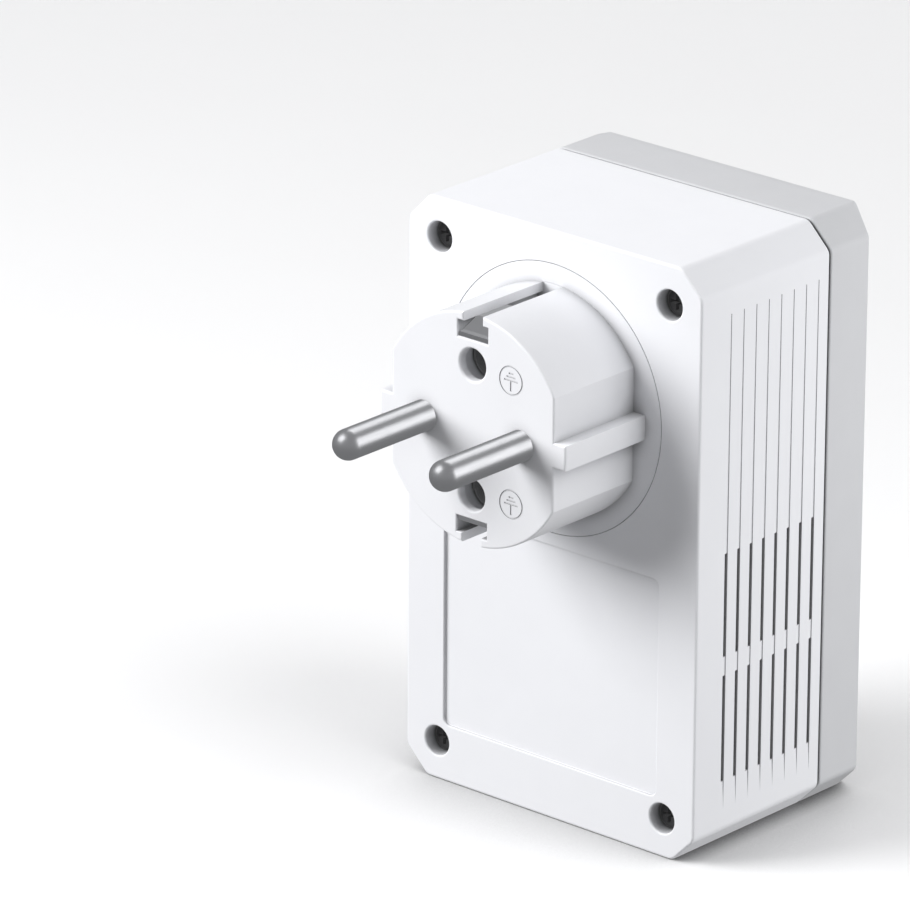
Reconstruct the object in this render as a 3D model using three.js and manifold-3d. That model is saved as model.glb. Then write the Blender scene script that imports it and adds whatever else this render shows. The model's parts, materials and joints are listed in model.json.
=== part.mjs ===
// Powerline adapter with a pass-through socket.
// Millimetres, +Z up. The origin is the centre of the plug's flat face, on the plug's axis.
// -Y points into the wall socket, +Y into the room, and +X is to the right seen from the wall.
import * as THREE from "three";
import { mergeVertices } from "three/addons/utils/BufferGeometryUtils.js";
import Module from "manifold-3d";

const wasm = await Module();
wasm.setup();

// ---------------------------------------------------------------- driving dimensions

// Case: a flat box with 45 degree corners, split by a seam into a rear shell and a front cover.
const HALF_WIDTH = 28.7;
const TOP = 26.5;
const BOTTOM = -67.6;
const CORNER_CUT = 4.1;
const WALL = 2;
const REAR = 18;
const SEAM = 47.5;
const SEAM_GAP = 0.4;
const FRONT = 58.9;
const BEVEL_WIDTH = 4.2;
const BEVEL_DEPTH = 2.1;
const LIP_START = 46;
const LIP_WALL = 1.2;
const GAP = 0.3;

// Plug: round block with flat sides, guide ribs, two pins, two earth holes and two earth notches.
const PLUG_R = 18.2;
const PLUG_FLAT = 15.87;
const RIB_REACH = 18.1;
const RIB_HALF = 1.95;
const PLUG_WALL = 2.2;
const DISC_R = 21.25;
const FLANGE_R = 24;
const FLANGE_BACK = 22.3;
const PIN_X = 9.5;
const PIN_R = 2.4;
const PIN_LENGTH = 19;
const PIN_SHOULDER = 17.7;
const PIN_END = 19.8;
const PIN_BOSS_R = 4.1;
const STUB_R = 1.4;
const STUB_END = 19.1;
const STUB_HEAD_R = 2.1;
const EARTH_HOLE_Z = 10.23;
const EARTH_HOLE_R = 2.52;
const SLEEVE_R = 2.9;
const SLEEVE_BORE = 2.3;
const SLEEVE_MOUTH = 1.5;
const SLEEVE_CASE_R = 4.4;
const CASE_END = 20.3;
const NOTCH_FLOOR = 14.1;
const NOTCH_STEP = 16.65;
const NOTCH_HALF = 2.93;
const NOTCH_NECK = 1.86;
const NOTCH_END = 17.9;
const NOTCH_WALL = 1.3;
const NOTCH_CASE_HALF = 4.4;
const EARTH_STRIP = 0.8;
const EARTH_STRIP_HALF = 2.6;
const EARTH_BACK = 0.6;
const EARTH_BULGE = 1.2;
const RIVET_HOLE_R = 1.5;
const CONTACT_POCKET = [5.9, 15.3];
const CONTACT_POCKET_HALF = 3.4;

// Case screws, in wells at the four corners of the rear face.
const SCREW_X = 22.5;
const SCREW_TOP = 20.2;
const SCREW_BOTTOM = -61.4;
const WELL_R = 2.4;
const HEAD_R = 2.2;
const HEAD_FACE = 19.8;
const HEAD_SEAT = 21.4;
const BOSS_R = 4.4;
const BOSS_END = 24.5;
const SHANK_HOLE_R = 1.6;
const POST_R = 3.2;
const POST_BORE = 1.5;
const POST_END = 24.8;
const POST_BORE_END = 40;

// Blank label recess on the rear face.
const LABEL_HALF = 21.2;
const LABEL_TOP = -23.4;
const LABEL_BOTTOM = -58.3;
const LABEL_RADIUS = 1.2;
const LABEL_DEPTH = 0.5;

// Side vents: pointed grooves that deepen and widen downwards from a straight front edge,
// each with two slots through the wall.
const VENT_COUNT = 8;
const VENT_FIRST = 24.93;
const VENT_PITCH = 2.886;
const VENT_TIP = 18.6;
const VENT_TAIL = -60.2;
const VENT_DEPTH = 0.25;
const VENT_WIDTH = 1;
const SLOT_WIDTH = 0.65;
const SLOT_SPANS = [
  [-35.6, -19.1],
  [-55.7, -38.6],
];

// Socket: a recess for a mating plug, with guide blocks, two pin holes and a shutter behind them.
const SOCKET_R = 19.5;
const SOCKET_RIM_R = 21.7;
const SOCKET_FLOOR = 41.4;
const FLOOR_BACK = 38.9;
const BLOCK_FACE = 16.6;
const BLOCK_HALF = 8;
const BLOCK_END = 57.4;
const GROOVE_FACE = 19;
const GROOVE_HALF = 2.5;
const PIN_HOLE_R = 2.7;
const SOCKET_STRIP = 0.6;
const SOCKET_BOW_Z = 17.6;
const SOCKET_BOW_HALF = 3;
const BOW_CHANNEL = [17.2, 20.6];
const BOW_CHANNEL_HALF = 3.4;
const SCREW_POST_R = 2.6;
const SCREW_POST_BORE = 1.2;
const CARRIER_R = 18.5;
const CARRIER_BACK = 25.2;
const CARRIER_FRONT = 34.9;
const CARRIER_SCREW = 12;
const CARRIER_WALL = 1.6;
const CELL_OUTSIDE = [4.1, 17.4];
const CELL_INSIDE = [5.5, 15.6];
const CELL_OUTSIDE_HALF = 5.5;
const CELL_INSIDE_HALF = 4.1;
const SHUTTER_BACK = 36.7;
const SHUTTER_FRONT = 38.5;
const SHUTTER_BEAM_HALF = 2;
const HUB_R = 2.8;
const PADDLE_R = 3.6;
const PIVOT_R = 1.4;
const PIVOT_BACK = 35.6;
const SPRING_BACK = 35.35;

// Board, parallel to the rear face in the lower part of the case.
const BOARD_BACK = 27;
const BOARD_FRONT = 28.6;
const BOARD_HALF = 25.9;
const BOARD_TOP = -24.5;
const BOARD_BOTTOM = -65;
const BOARD_NOTCH_X = 18.8;
const BOARD_NOTCH_Z = -57.7;
const BOARD_HOLE_R = 1.5;
const BOARD_SCREW_X = 22;
const BOARD_SCREW_Z = -28;
const STANDOFF_R = 2.8;
const STANDOFF_BORE = 1.3;
const REST_X = 23.5;
const REST_Z = -50;
const REST_R = 1.8;
const ON_BOARD = BOARD_FRONT + GAP;

// Controls and indicators.
const LIGHT_X = 8;
const LIGHT_Z = -35;
const LIGHT_R = 1;
const PAIR_Z = -49.5;
const PAIR_HALF_LENGTH = 5.5;
const PAIR_HALF_HEIGHT = 3;
const RESET_X = -1.5;
const RESET_Y = 31.4;
const RESET_R = 1.5;
const PLUNGER_R = 0.9;

// Ethernet jack, whose mouth is in the bottom wall.
const JACK_X = 11;
const JACK_HALF = 8;
const JACK_TOP = -48.9;
const JACK_MOUTH = -66.9;
const JACK_FRONT = 42.2;
const JACK_SILL = 2.1;
const JACK_REACH = 13;
const CONTACT_COUNT = 8;
const CONTACT_PITCH = 1.02;

// Facets round large, middle-sized and small circles.
const LARGE = 48;
const MIDDLE = 20;
const SMALL = 12;
const CAN_FACETS = 14;
const PLUNGER_FACETS = 16;

// ---------------------------------------------------------------- colours and finishes

function finish(color, roughness, metalness = 0) {
  return new THREE.MeshStandardMaterial({ color, roughness, metalness });
}

const finishes = {
  white: finish(0xf2f3f6, 0.45),
  silverGrey: finish(0xc9cbcf, 0.4),
  lightGrey: finish(0xdfe0e3, 0.5),
  nickel: finish(0xb9bbbd, 0.28, 1),
  brass: finish(0xc9a45c, 0.35, 1),
  blackSteel: finish(0x1d1d1f, 0.45, 1),
  steel: finish(0xa4a6a8, 0.35, 1),
  board: finish(0x1c5a36, 0.5),
  black: finish(0x1a1a1b, 0.6),
  natural: finish(0xd8d2bd, 0.6),
  yellow: finish(0xd9b53a, 0.55),
  blue: finish(0x2c5fa3, 0.5),
  brown: finish(0x6b3a1f, 0.5),
  ferrite: finish(0x3a3b3d, 0.7),
  copper: finish(0xb06a3c, 0.35, 1),
  aluminium: finish(0xaeb1b4, 0.4, 1),
  clear: finish(0xeef2f4, 0.15),
};

// ---------------------------------------------------------------- solids

// A closed three.js geometry as a solid that can be joined and cut.
function solidOf(geometry) {
  const bare = geometry.clone();
  bare.deleteAttribute("normal");
  bare.deleteAttribute("uv");
  const merged = mergeVertices(bare, 1e-4);
  const index = merged.index.array;
  const corners = [];
  for (let i = 0; i < index.length; i += 3) {
    const [a, b, c] = [index[i], index[i + 1], index[i + 2]];
    if (a !== b && b !== c && c !== a) corners.push(a, b, c);
  }
  return new wasm.Manifold(
    new wasm.Mesh({
      numProp: 3,
      vertProperties: merged.attributes.position.array,
      triVerts: new Uint32Array(corners),
    }),
  );
}

function geometryOf(solid) {
  const mesh = solid.getMesh();
  const geometry = new THREE.BufferGeometry();
  const positions = new Float32Array(mesh.vertProperties);
  geometry.setAttribute("position", new THREE.BufferAttribute(positions, 3));
  geometry.setIndex(new THREE.BufferAttribute(new Uint32Array(mesh.triVerts), 1));
  geometry.computeVertexNormals();
  return geometry;
}

function join(...solids) {
  return solids.reduce((whole, solid) => whole.add(solid));
}

function cut(solid, ...tools) {
  return tools.reduce((rest, tool) => rest.subtract(tool), solid);
}

// The box between two values on each axis.
function box(xs, ys, zs) {
  const size = [xs, ys, zs].map(([low, high]) => high - low);
  const middle = [xs, ys, zs].map(([low, high]) => (low + high) / 2);
  return solidOf(new THREE.BoxGeometry(...size).translate(...middle));
}

// A round bar along Y, centred on (x, z).
function bar(x, z, radius, start, end, segments = MIDDLE) {
  const length = end - start;
  const geometry = new THREE.CylinderGeometry(radius, radius, length, segments);
  return solidOf(geometry.translate(x, (start + end) / 2, z));
}

// A round bar along Z, centred on (x, y).
function upright(x, y, radius, low, high, segments = SMALL) {
  const geometry = new THREE.CylinderGeometry(radius, radius, high - low, segments);
  return solidOf(geometry.rotateX(Math.PI / 2).translate(x, y, (low + high) / 2));
}

// An outline drawn in X and Z, extruded along Y.
function plate(shape, start, end, curveSegments = 4) {
  const options = { depth: end - start, bevelEnabled: false, curveSegments };
  const geometry = new THREE.ExtrudeGeometry(shape, options);
  return solidOf(geometry.rotateX(Math.PI / 2).translate(0, end, 0));
}

// An outline drawn in Y and Z, extruded along X.
function sideProfile(points, start, end) {
  const shape = new THREE.Shape(points.map(([y, z]) => new THREE.Vector2(y, z)));
  const options = { depth: end - start, bevelEnabled: false };
  const geometry = new THREE.ExtrudeGeometry(shape, options);
  const turn = new THREE.Matrix4().makeBasis(
    new THREE.Vector3(0, 1, 0),
    new THREE.Vector3(0, 0, 1),
    new THREE.Vector3(1, 0, 0),
  );
  return solidOf(geometry.applyMatrix4(turn).translate(start, 0, 0));
}

// An outline drawn in X and Y, extruded along Z.
function planProfile(points, low, high) {
  const shape = new THREE.Shape(points.map(([x, y]) => new THREE.Vector2(x, y)));
  const options = { depth: high - low, bevelEnabled: false };
  return solidOf(new THREE.ExtrudeGeometry(shape, options).translate(0, 0, low));
}

// A profile of [radius, y] points turned about the Y axis.
function turned(points, segments = MIDDLE) {
  const profile = points.map(([radius, y]) => new THREE.Vector2(radius, y));
  return solidOf(new THREE.LatheGeometry(profile, segments));
}

function roundedRectangle(x0, x1, z0, z1, radius) {
  const shape = new THREE.Shape();
  shape.moveTo(x0 + radius, z0);
  shape.lineTo(x1 - radius, z0);
  shape.absarc(x1 - radius, z0 + radius, radius, -Math.PI / 2, 0, false);
  shape.lineTo(x1, z1 - radius);
  shape.absarc(x1 - radius, z1 - radius, radius, 0, Math.PI / 2, false);
  shape.lineTo(x0 + radius, z1);
  shape.absarc(x0 + radius, z1 - radius, radius, Math.PI / 2, Math.PI, false);
  shape.lineTo(x0, z0 + radius);
  shape.absarc(x0 + radius, z0 + radius, radius, Math.PI, Math.PI * 1.5, false);
  return shape;
}

// The case's outline moved inwards by an inset, with its 45 degree corners kept parallel.
function caseOutline(inset) {
  const side = HALF_WIDTH - inset;
  const high = TOP - inset;
  const low = BOTTOM + inset;
  const corner = CORNER_CUT - inset * (2 - Math.SQRT2);
  return new THREE.Shape(
    [
      [side, low + corner],
      [side, high - corner],
      [side - corner, high],
      [corner - side, high],
      [-side, high - corner],
      [-side, low + corner],
      [corner - side, low],
      [side - corner, low],
    ].map(([x, z]) => new THREE.Vector2(x, z)),
  );
}

// A strip of even thickness whose lower line runs through [y, z] points, for the upper or lower half.
function strip(points, thickness, halfWidth, side) {
  const lower = points.map(([y, z]) => [y, side * z]);
  const upper = points.map(([y, z]) => [y, side * (z + thickness)]).reverse();
  return sideProfile([...lower, ...upper], -halfWidth, halfWidth);
}

// ---------------------------------------------------------------- the assembly

const adapter = new THREE.Group();

function place(name, solid, material, position = [0, 0, 0], rotation = [0, 0, 0]) {
  const mesh = new THREE.Mesh(geometryOf(solid), material);
  mesh.name = name;
  mesh.position.set(...position);
  mesh.rotation.set(...rotation);
  adapter.add(mesh);
}

const BOTH = [-1, 1];
const TRIO = ["left", "middle", "right"];
const sideName = (side) => (side < 0 ? "left" : "right");
const levelName = (side) => (side < 0 ? "lower" : "upper");
const SCREW_LEVELS = [
  ["upper", SCREW_TOP],
  ["lower", SCREW_BOTTOM],
];

// A range between two distances from a middle plane, on one side of it.
function sideRange(side, near, far) {
  return side > 0 ? [near, far] : [-far, -near];
}

// ---------------------------------------------------------------- rear shell

function ventCutter(side) {
  const outer = side * HALF_WIDTH;
  const grooveFloor = side * (HALF_WIDTH - VENT_DEPTH);
  const outside = side * (HALF_WIDTH + 1);
  const wall = sideRange(side, HALF_WIDTH - WALL - 1, HALF_WIDTH + 1);
  const slotTop = SLOT_SPANS[0][1];
  const slotBottom = SLOT_SPANS[1][0];
  // The depth of the grooves, drawn in X and Z: from nothing at the tip to full depth at the slots.
  const ramp = new THREE.Shape(
    [
      [outer, VENT_TIP],
      [grooveFloor, slotTop],
      [grooveFloor, slotBottom],
      [outer, VENT_TAIL],
      [outside, VENT_TAIL],
      [outside, VENT_TIP],
    ].map(([x, z]) => new THREE.Vector2(x, z)),
  );
  const depth = plate(ramp, REAR, SEAM);
  const tools = [];
  for (let i = 0; i < VENT_COUNT; i++) {
    const y = VENT_FIRST + i * VENT_PITCH;
    const needle = [
      [y, VENT_TIP],
      [y - VENT_WIDTH, slotTop],
      [y - VENT_WIDTH, slotBottom],
      [y, VENT_TAIL],
    ];
    tools.push(sideProfile(needle, ...wall).intersect(depth));
    for (const slot of SLOT_SPANS) tools.push(box(wall, [y - SLOT_WIDTH, y], slot));
  }
  return join(...tools);
}

function rearShell() {
  const tub = cut(
    plate(caseOutline(0), REAR, SEAM),
    plate(caseOutline(WALL), REAR + WALL, SEAM + 1),
  );
  const additions = [];
  const tools = [bar(0, 0, DISC_R + GAP, REAR - 1, REAR + WALL + 1, LARGE)];
  for (const side of BOTH) {
    for (const [, z] of SCREW_LEVELS) {
      additions.push(bar(side * SCREW_X, z, BOSS_R, REAR + 1, BOSS_END));
      tools.push(bar(side * SCREW_X, z, WELL_R, REAR - 1, HEAD_SEAT + GAP));
      tools.push(bar(side * SCREW_X, z, SHANK_HOLE_R, HEAD_SEAT, BOSS_END + 1, SMALL));
    }
    const standoffX = side * BOARD_SCREW_X;
    const standoffEnd = BOARD_BACK - GAP;
    additions.push(bar(standoffX, BOARD_SCREW_Z, STANDOFF_R, REAR + 1, standoffEnd, SMALL));
    additions.push(bar(side * REST_X, REST_Z, REST_R, REAR + 1, standoffEnd, SMALL));
    tools.push(bar(standoffX, BOARD_SCREW_Z, STANDOFF_BORE, REAR + WALL + 1, BOARD_BACK, SMALL));
    tools.push(ventCutter(side));
  }
  const label = roundedRectangle(-LABEL_HALF, LABEL_HALF, LABEL_BOTTOM, LABEL_TOP, LABEL_RADIUS);
  tools.push(plate(label, REAR - 1, REAR + LABEL_DEPTH));
  tools.push(
    box(
      [JACK_X - JACK_HALF - GAP, JACK_X + JACK_HALF + GAP],
      [ON_BOARD - GAP, JACK_FRONT + GAP],
      [BOTTOM - 1, BOTTOM + WALL + 1],
    ),
  );
  tools.push(upright(RESET_X, RESET_Y, RESET_R + GAP, BOTTOM - 1, BOTTOM + WALL + 1));
  const caseVolume = plate(caseOutline(0), REAR, SEAM);
  return cut(join(tub, ...additions).intersect(caseVolume), ...tools);
}

place("rear_shell", rearShell(), finishes.white);

// ---------------------------------------------------------------- front cover

// The volume under the front face's two side bevels, moved inwards by an inset.
function bevelledVolume(inset) {
  const side = HALF_WIDTH - inset;
  const front = FRONT - inset;
  const slope = BEVEL_DEPTH / BEVEL_WIDTH;
  const halfAngleTangent = (Math.hypot(1, slope) - 1) / slope;
  const shoulder = HALF_WIDTH - BEVEL_WIDTH - inset * halfAngleTangent;
  const edge = front - slope * (side - shoulder);
  return planProfile(
    [
      [-side, LIP_START - 1],
      [side, LIP_START - 1],
      [side, edge],
      [shoulder, front],
      [-shoulder, front],
      [-side, edge],
    ],
    BOTTOM - 1,
    TOP + 1,
  );
}

function pill(halfLength, halfHeight) {
  return roundedRectangle(
    -halfLength,
    halfLength,
    PAIR_Z - halfHeight,
    PAIR_Z + halfHeight,
    halfHeight - 0.01,
  );
}

function frontCover() {
  const coverStart = SEAM + SEAM_GAP;
  const outside = plate(caseOutline(0), coverStart, FRONT).intersect(bevelledVolume(0));
  const inside = plate(caseOutline(WALL), coverStart - 1, FRONT).intersect(bevelledVolume(WALL));
  const lipInset = WALL + GAP;
  const lip = cut(
    join(
      plate(caseOutline(lipInset), LIP_START, coverStart + 1),
      plate(caseOutline(WALL / 2), coverStart, coverStart + 2.5),
    ),
    plate(caseOutline(lipInset + LIP_WALL), LIP_START - 1, coverStart + 4),
  );
  const additions = [lip];
  const tools = [
    bar(0, 0, SOCKET_RIM_R + GAP, FRONT - WALL - 1, FRONT + 1, LARGE),
    plate(pill(PAIR_HALF_LENGTH + GAP, PAIR_HALF_HEIGHT + GAP), FRONT - WALL - 1, FRONT + 1),
  ];
  for (const side of BOTH) {
    for (const [, z] of SCREW_LEVELS) {
      additions.push(bar(side * SCREW_X, z, POST_R, POST_END, FRONT - WALL + 0.5, MIDDLE));
      tools.push(bar(side * SCREW_X, z, POST_BORE, POST_END - 1, POST_BORE_END, SMALL));
    }
  }
  for (const x of [-LIGHT_X, 0, LIGHT_X])
    tools.push(bar(x, LIGHT_Z, LIGHT_R + GAP, FRONT - WALL - 1, FRONT + 1, SMALL));
  return cut(join(cut(outside, inside), ...additions), ...tools);
}

place("front_cover", frontCover(), finishes.silverGrey);

// ---------------------------------------------------------------- plug

function plugInsert() {
  const round = bar(0, 0, PLUG_R, 0, REAR + 1, LARGE);
  const flatSided = round.intersect(
    box([-PLUG_FLAT, PLUG_FLAT], [-1, REAR + 2], [-PLUG_R, PLUG_R]),
  );
  const ribs = round.intersect(
    box([-RIB_REACH, RIB_REACH], [-1, REAR + 2], [-RIB_HALF, RIB_HALF]),
  );
  const block = join(flatSided, ribs);
  const disc = bar(0, 0, DISC_R, REAR, REAR + WALL + 1, LARGE);
  const flange = bar(0, 0, FLANGE_R, REAR + WALL + GAP, FLANGE_BACK, LARGE);
  const hollowSide = PLUG_FLAT - PLUG_WALL;
  const hollow = bar(0, 0, PLUG_R - PLUG_WALL, PLUG_WALL + GAP, FLANGE_BACK + 1, LARGE).intersect(
    box([-hollowSide, hollowSide], [0, FLANGE_BACK + 2], [-PLUG_R, PLUG_R]),
  );
  const inner = [];
  const tools = [];
  for (const side of BOTH) {
    const pinX = side * PIN_X;
    const holeZ = side * EARTH_HOLE_Z;
    inner.push(bar(pinX, 0, PIN_BOSS_R, 1, PIN_SHOULDER - GAP, MIDDLE));
    inner.push(bar(0, holeZ, SLEEVE_CASE_R, 1, CASE_END, MIDDLE));
    const notchWall = sideRange(side, NOTCH_FLOOR - NOTCH_WALL, PLUG_R);
    inner.push(
      box([-NOTCH_CASE_HALF, NOTCH_CASE_HALF], [1, CASE_END], notchWall).intersect(round),
    );
    tools.push(bar(pinX, 0, PIN_R + GAP, -1, REAR, MIDDLE));
    tools.push(bar(0, holeZ, EARTH_HOLE_R, -1, 2, MIDDLE));
    tools.push(bar(0, holeZ, SLEEVE_R + GAP, 1.2, FLANGE_BACK + 1, MIDDLE));
    const wide = sideRange(side, NOTCH_FLOOR, NOTCH_STEP);
    const neck = sideRange(side, NOTCH_FLOOR, PLUG_R + 1);
    const channelTop = NOTCH_FLOOR + EARTH_STRIP + 2 * GAP;
    const channel = sideRange(side, NOTCH_FLOOR, channelTop);
    tools.push(box([-NOTCH_HALF, NOTCH_HALF], [-1, NOTCH_END], wide));
    tools.push(box([-NOTCH_NECK, NOTCH_NECK], [-1, NOTCH_END], neck));
    tools.push(box([-NOTCH_HALF, NOTCH_HALF], [0, FLANGE_BACK + 1], channel));
    const pocket = sideRange(side, ...CONTACT_POCKET);
    const pocketHeight = [-CONTACT_POCKET_HALF, CONTACT_POCKET_HALF];
    tools.push(box(pocket, [PIN_SHOULDER - GAP, FLANGE_BACK + 1], pocketHeight));
  }
  return cut(join(cut(join(block, disc, flange), hollow), ...inner), ...tools);
}

// Round nose, plain shank, and a riveted stub that holds the line contact.
function plugPin() {
  const nose = [];
  const steps = 5;
  for (let i = 0; i <= steps; i++) {
    const angle = (i / steps) * (Math.PI / 2);
    nose.push([PIN_R * Math.sin(angle), -PIN_LENGTH + PIN_R * (1 - Math.cos(angle))]);
  }
  return turned([
    ...nose,
    [PIN_R, PIN_SHOULDER],
    [STUB_R, PIN_SHOULDER],
    [STUB_R, STUB_END],
    [STUB_HEAD_R, STUB_END],
    [STUB_HEAD_R, PIN_END],
    [0, PIN_END],
  ]);
}

function earthSleeve() {
  return turned([
    [SLEEVE_BORE, SLEEVE_MOUTH],
    [SLEEVE_R, SLEEVE_MOUTH],
    [SLEEVE_R, FLANGE_BACK],
    [SLEEVE_BORE, FLANGE_BACK],
    [SLEEVE_BORE, SLEEVE_MOUTH],
  ]);
}

// One sheet strip: a bulged spring leg in each notch, joined across the back of the plug.
function plugEarthBow() {
  const backStart = FLANGE_BACK + GAP;
  const floor = NOTCH_FLOOR + GAP;
  const leg = [
    [0.5, floor],
    [1.6, floor],
    [4.5, floor + EARTH_BULGE],
    [10.5, floor + EARTH_BULGE],
    [14, floor],
    [backStart + EARTH_BACK, floor],
  ];
  const across = [-EARTH_STRIP_HALF, EARTH_STRIP_HALF];
  const back = box(across, [backStart, backStart + EARTH_BACK], [-floor - 0.3, floor + 0.3]);
  const legs = BOTH.map((side) => strip(leg, EARTH_STRIP, EARTH_STRIP_HALF, side));
  const rivetHole = bar(0, 0, RIVET_HOLE_R, backStart - 1, backStart + 2, SMALL);
  return cut(join(...legs, back), rivetHole);
}

place("plug_insert", plugInsert(), finishes.white);
for (const side of BOTH) {
  place(`plug_pin_${sideName(side)}`, plugPin(), finishes.nickel, [side * PIN_X, 0, 0]);
  const sleeveAt = [0, 0, side * EARTH_HOLE_Z];
  place(`earth_sleeve_${levelName(side)}`, earthSleeve(), finishes.nickel, sleeveAt);
}
place("plug_earth_bow", plugEarthBow(), finishes.nickel);

// ---------------------------------------------------------------- socket

function socketInsert() {
  const tube = join(
    bar(0, 0, SOCKET_RIM_R, FLOOR_BACK, FRONT, LARGE),
    bar(0, 0, FLANGE_R, FRONT - 4, FRONT - WALL - GAP, LARGE),
  );
  const blocks = BOTH.map((side) => {
    const reach = sideRange(side, BLOCK_FACE, SOCKET_R + 1);
    return box(reach, [SOCKET_FLOOR - 1, BLOCK_END], [-BLOCK_HALF, BLOCK_HALF]);
  });
  const recess = cut(bar(0, 0, SOCKET_R, SOCKET_FLOOR, FRONT + 1, LARGE), ...blocks);
  const guide = box(
    [-GROOVE_FACE, GROOVE_FACE],
    [SOCKET_FLOOR, FRONT + 1],
    [-GROOVE_HALF, GROOVE_HALF],
  );
  const additions = [bar(0, 0, PIVOT_R, PIVOT_BACK, FLOOR_BACK + 1, MIDDLE)];
  const tools = [recess, guide.intersect(bar(0, 0, SOCKET_R, SOCKET_FLOOR, FRONT + 1, LARGE))];
  for (const side of BOTH) {
    const corner = side * CARRIER_SCREW;
    const postStart = CARRIER_FRONT + GAP;
    additions.push(bar(corner, corner, SCREW_POST_R, postStart, FLOOR_BACK + 1, SMALL));
    tools.push(bar(corner, corner, SCREW_POST_BORE, CARRIER_FRONT, SOCKET_FLOOR - 0.8, SMALL));
    tools.push(bar(side * PIN_X, 0, PIN_HOLE_R, FLOOR_BACK - 1, SOCKET_FLOOR + 1, MIDDLE));
    const channel = sideRange(side, ...BOW_CHANNEL);
    const channelWidth = [-BOW_CHANNEL_HALF, BOW_CHANNEL_HALF];
    tools.push(box(channelWidth, [FLOOR_BACK - 1, BLOCK_END], channel));
  }
  return cut(join(tube, ...additions), ...tools);
}

// One sheet strip behind the socket, whose two spring legs come forward into the recess.
function socketEarthBow() {
  const backStart = FLANGE_BACK + 2 * GAP + EARTH_BACK;
  const leg = [
    [backStart, SOCKET_BOW_Z],
    [44, SOCKET_BOW_Z],
    [48, 16.5],
    [51, 16.5],
    [56, 18.6],
  ];
  const across = [-SOCKET_BOW_HALF, SOCKET_BOW_HALF];
  const high = SOCKET_BOW_Z + SOCKET_STRIP / 2;
  const back = box(across, [backStart, backStart + SOCKET_STRIP], [-high, high]);
  const legs = BOTH.map((side) => strip(leg, SOCKET_STRIP, SOCKET_BOW_HALF, side));
  const rivetHole = bar(0, 0, RIVET_HOLE_R, backStart - 1, backStart + 2, SMALL);
  return cut(join(...legs, back), rivetHole);
}

function earthRivet() {
  const back = FLANGE_BACK;
  const front = FLANGE_BACK + 3 * GAP + 1.2;
  const headHeight = 0.8;
  const headR = 2.2;
  const shankR = 1.2;
  const profile = [
    [0, back - headHeight],
    [headR, back - headHeight],
    [headR, back],
    [shankR, back],
    [shankR, front],
    [headR, front],
    [headR, front + headHeight],
    [0, front + headHeight],
  ];
  return turned(profile, SMALL);
}

// Moulded frame behind the socket: cells for the line contacts, and feet on the plug's flange.
function contactCarrier() {
  const cellFront = CARRIER_FRONT - 2.3;
  const shell = cut(
    bar(0, 0, CARRIER_R, CARRIER_BACK, CARRIER_FRONT, LARGE),
    bar(0, 0, CARRIER_R - CARRIER_WALL, CARRIER_BACK - 1, cellFront, LARGE),
  );
  const additions = [];
  const tools = [];
  const full = bar(0, 0, CARRIER_R, CARRIER_BACK, CARRIER_FRONT, LARGE);
  for (const side of BOTH) {
    const corner = side * CARRIER_SCREW;
    const outer = sideRange(side, ...CELL_OUTSIDE);
    const outerHeight = [-CELL_OUTSIDE_HALF, CELL_OUTSIDE_HALF];
    const inner = sideRange(side, ...CELL_INSIDE);
    const innerHeight = [-CELL_INSIDE_HALF, CELL_INSIDE_HALF];
    additions.push(box(outer, [CARRIER_BACK, CARRIER_FRONT], outerHeight).intersect(full));
    additions.push(bar(corner, corner, 3.6, CARRIER_BACK, CARRIER_FRONT, MIDDLE).intersect(full));
    tools.push(box(inner, [CARRIER_BACK - 1, cellFront], innerHeight));
    tools.push(bar(side * PIN_X, 0, PIN_HOLE_R, cellFront - 1, CARRIER_FRONT + 1, MIDDLE));
    tools.push(bar(corner, corner, 1.5, CARRIER_BACK - 1, CARRIER_FRONT + 1, SMALL));
    tools.push(bar(corner, corner, 2.5, CARRIER_BACK - 1, CARRIER_BACK + 2.3, SMALL));
    for (const level of BOTH)
      additions.push(
        bar(side * 8.8, level * 15.3, 1.5, FLANGE_BACK + GAP, CARRIER_FRONT - 1, SMALL),
      );
    const bowPath = sideRange(side, BOW_CHANNEL[0], CARRIER_R + 1);
    const bowWidth = [-BOW_CHANNEL_HALF, BOW_CHANNEL_HALF];
    tools.push(box(bowWidth, [CARRIER_BACK - 1, CARRIER_FRONT + 1], bowPath));
  }
  return cut(join(shell, ...additions), ...tools);
}

// Riveted to a plug pin at its base, it runs forward to a U-shaped grip for the mating pin.
function lineContact(side) {
  const base = [18, 18.8];
  const grip = [25.5, 31.9];
  const outer = 14.9;
  const web = sideRange(side, 14.1, outer);
  const arms = sideRange(side, 7, outer);
  const contact = join(
    box(sideRange(side, 6.3, outer), base, [-3, 3]),
    box(web, [base[0], grip[1]], [-3, 3]),
    box(web, grip, [-3.45, 3.45]),
    box(arms, grip, [2.75, 3.45]),
    box(arms, grip, [-3.45, -2.75]),
  );
  const stubHole = bar(side * PIN_X, 0, STUB_R + GAP, base[0] - 1, base[1] + 1.2, SMALL);
  return cut(contact, stubHole);
}

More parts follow.
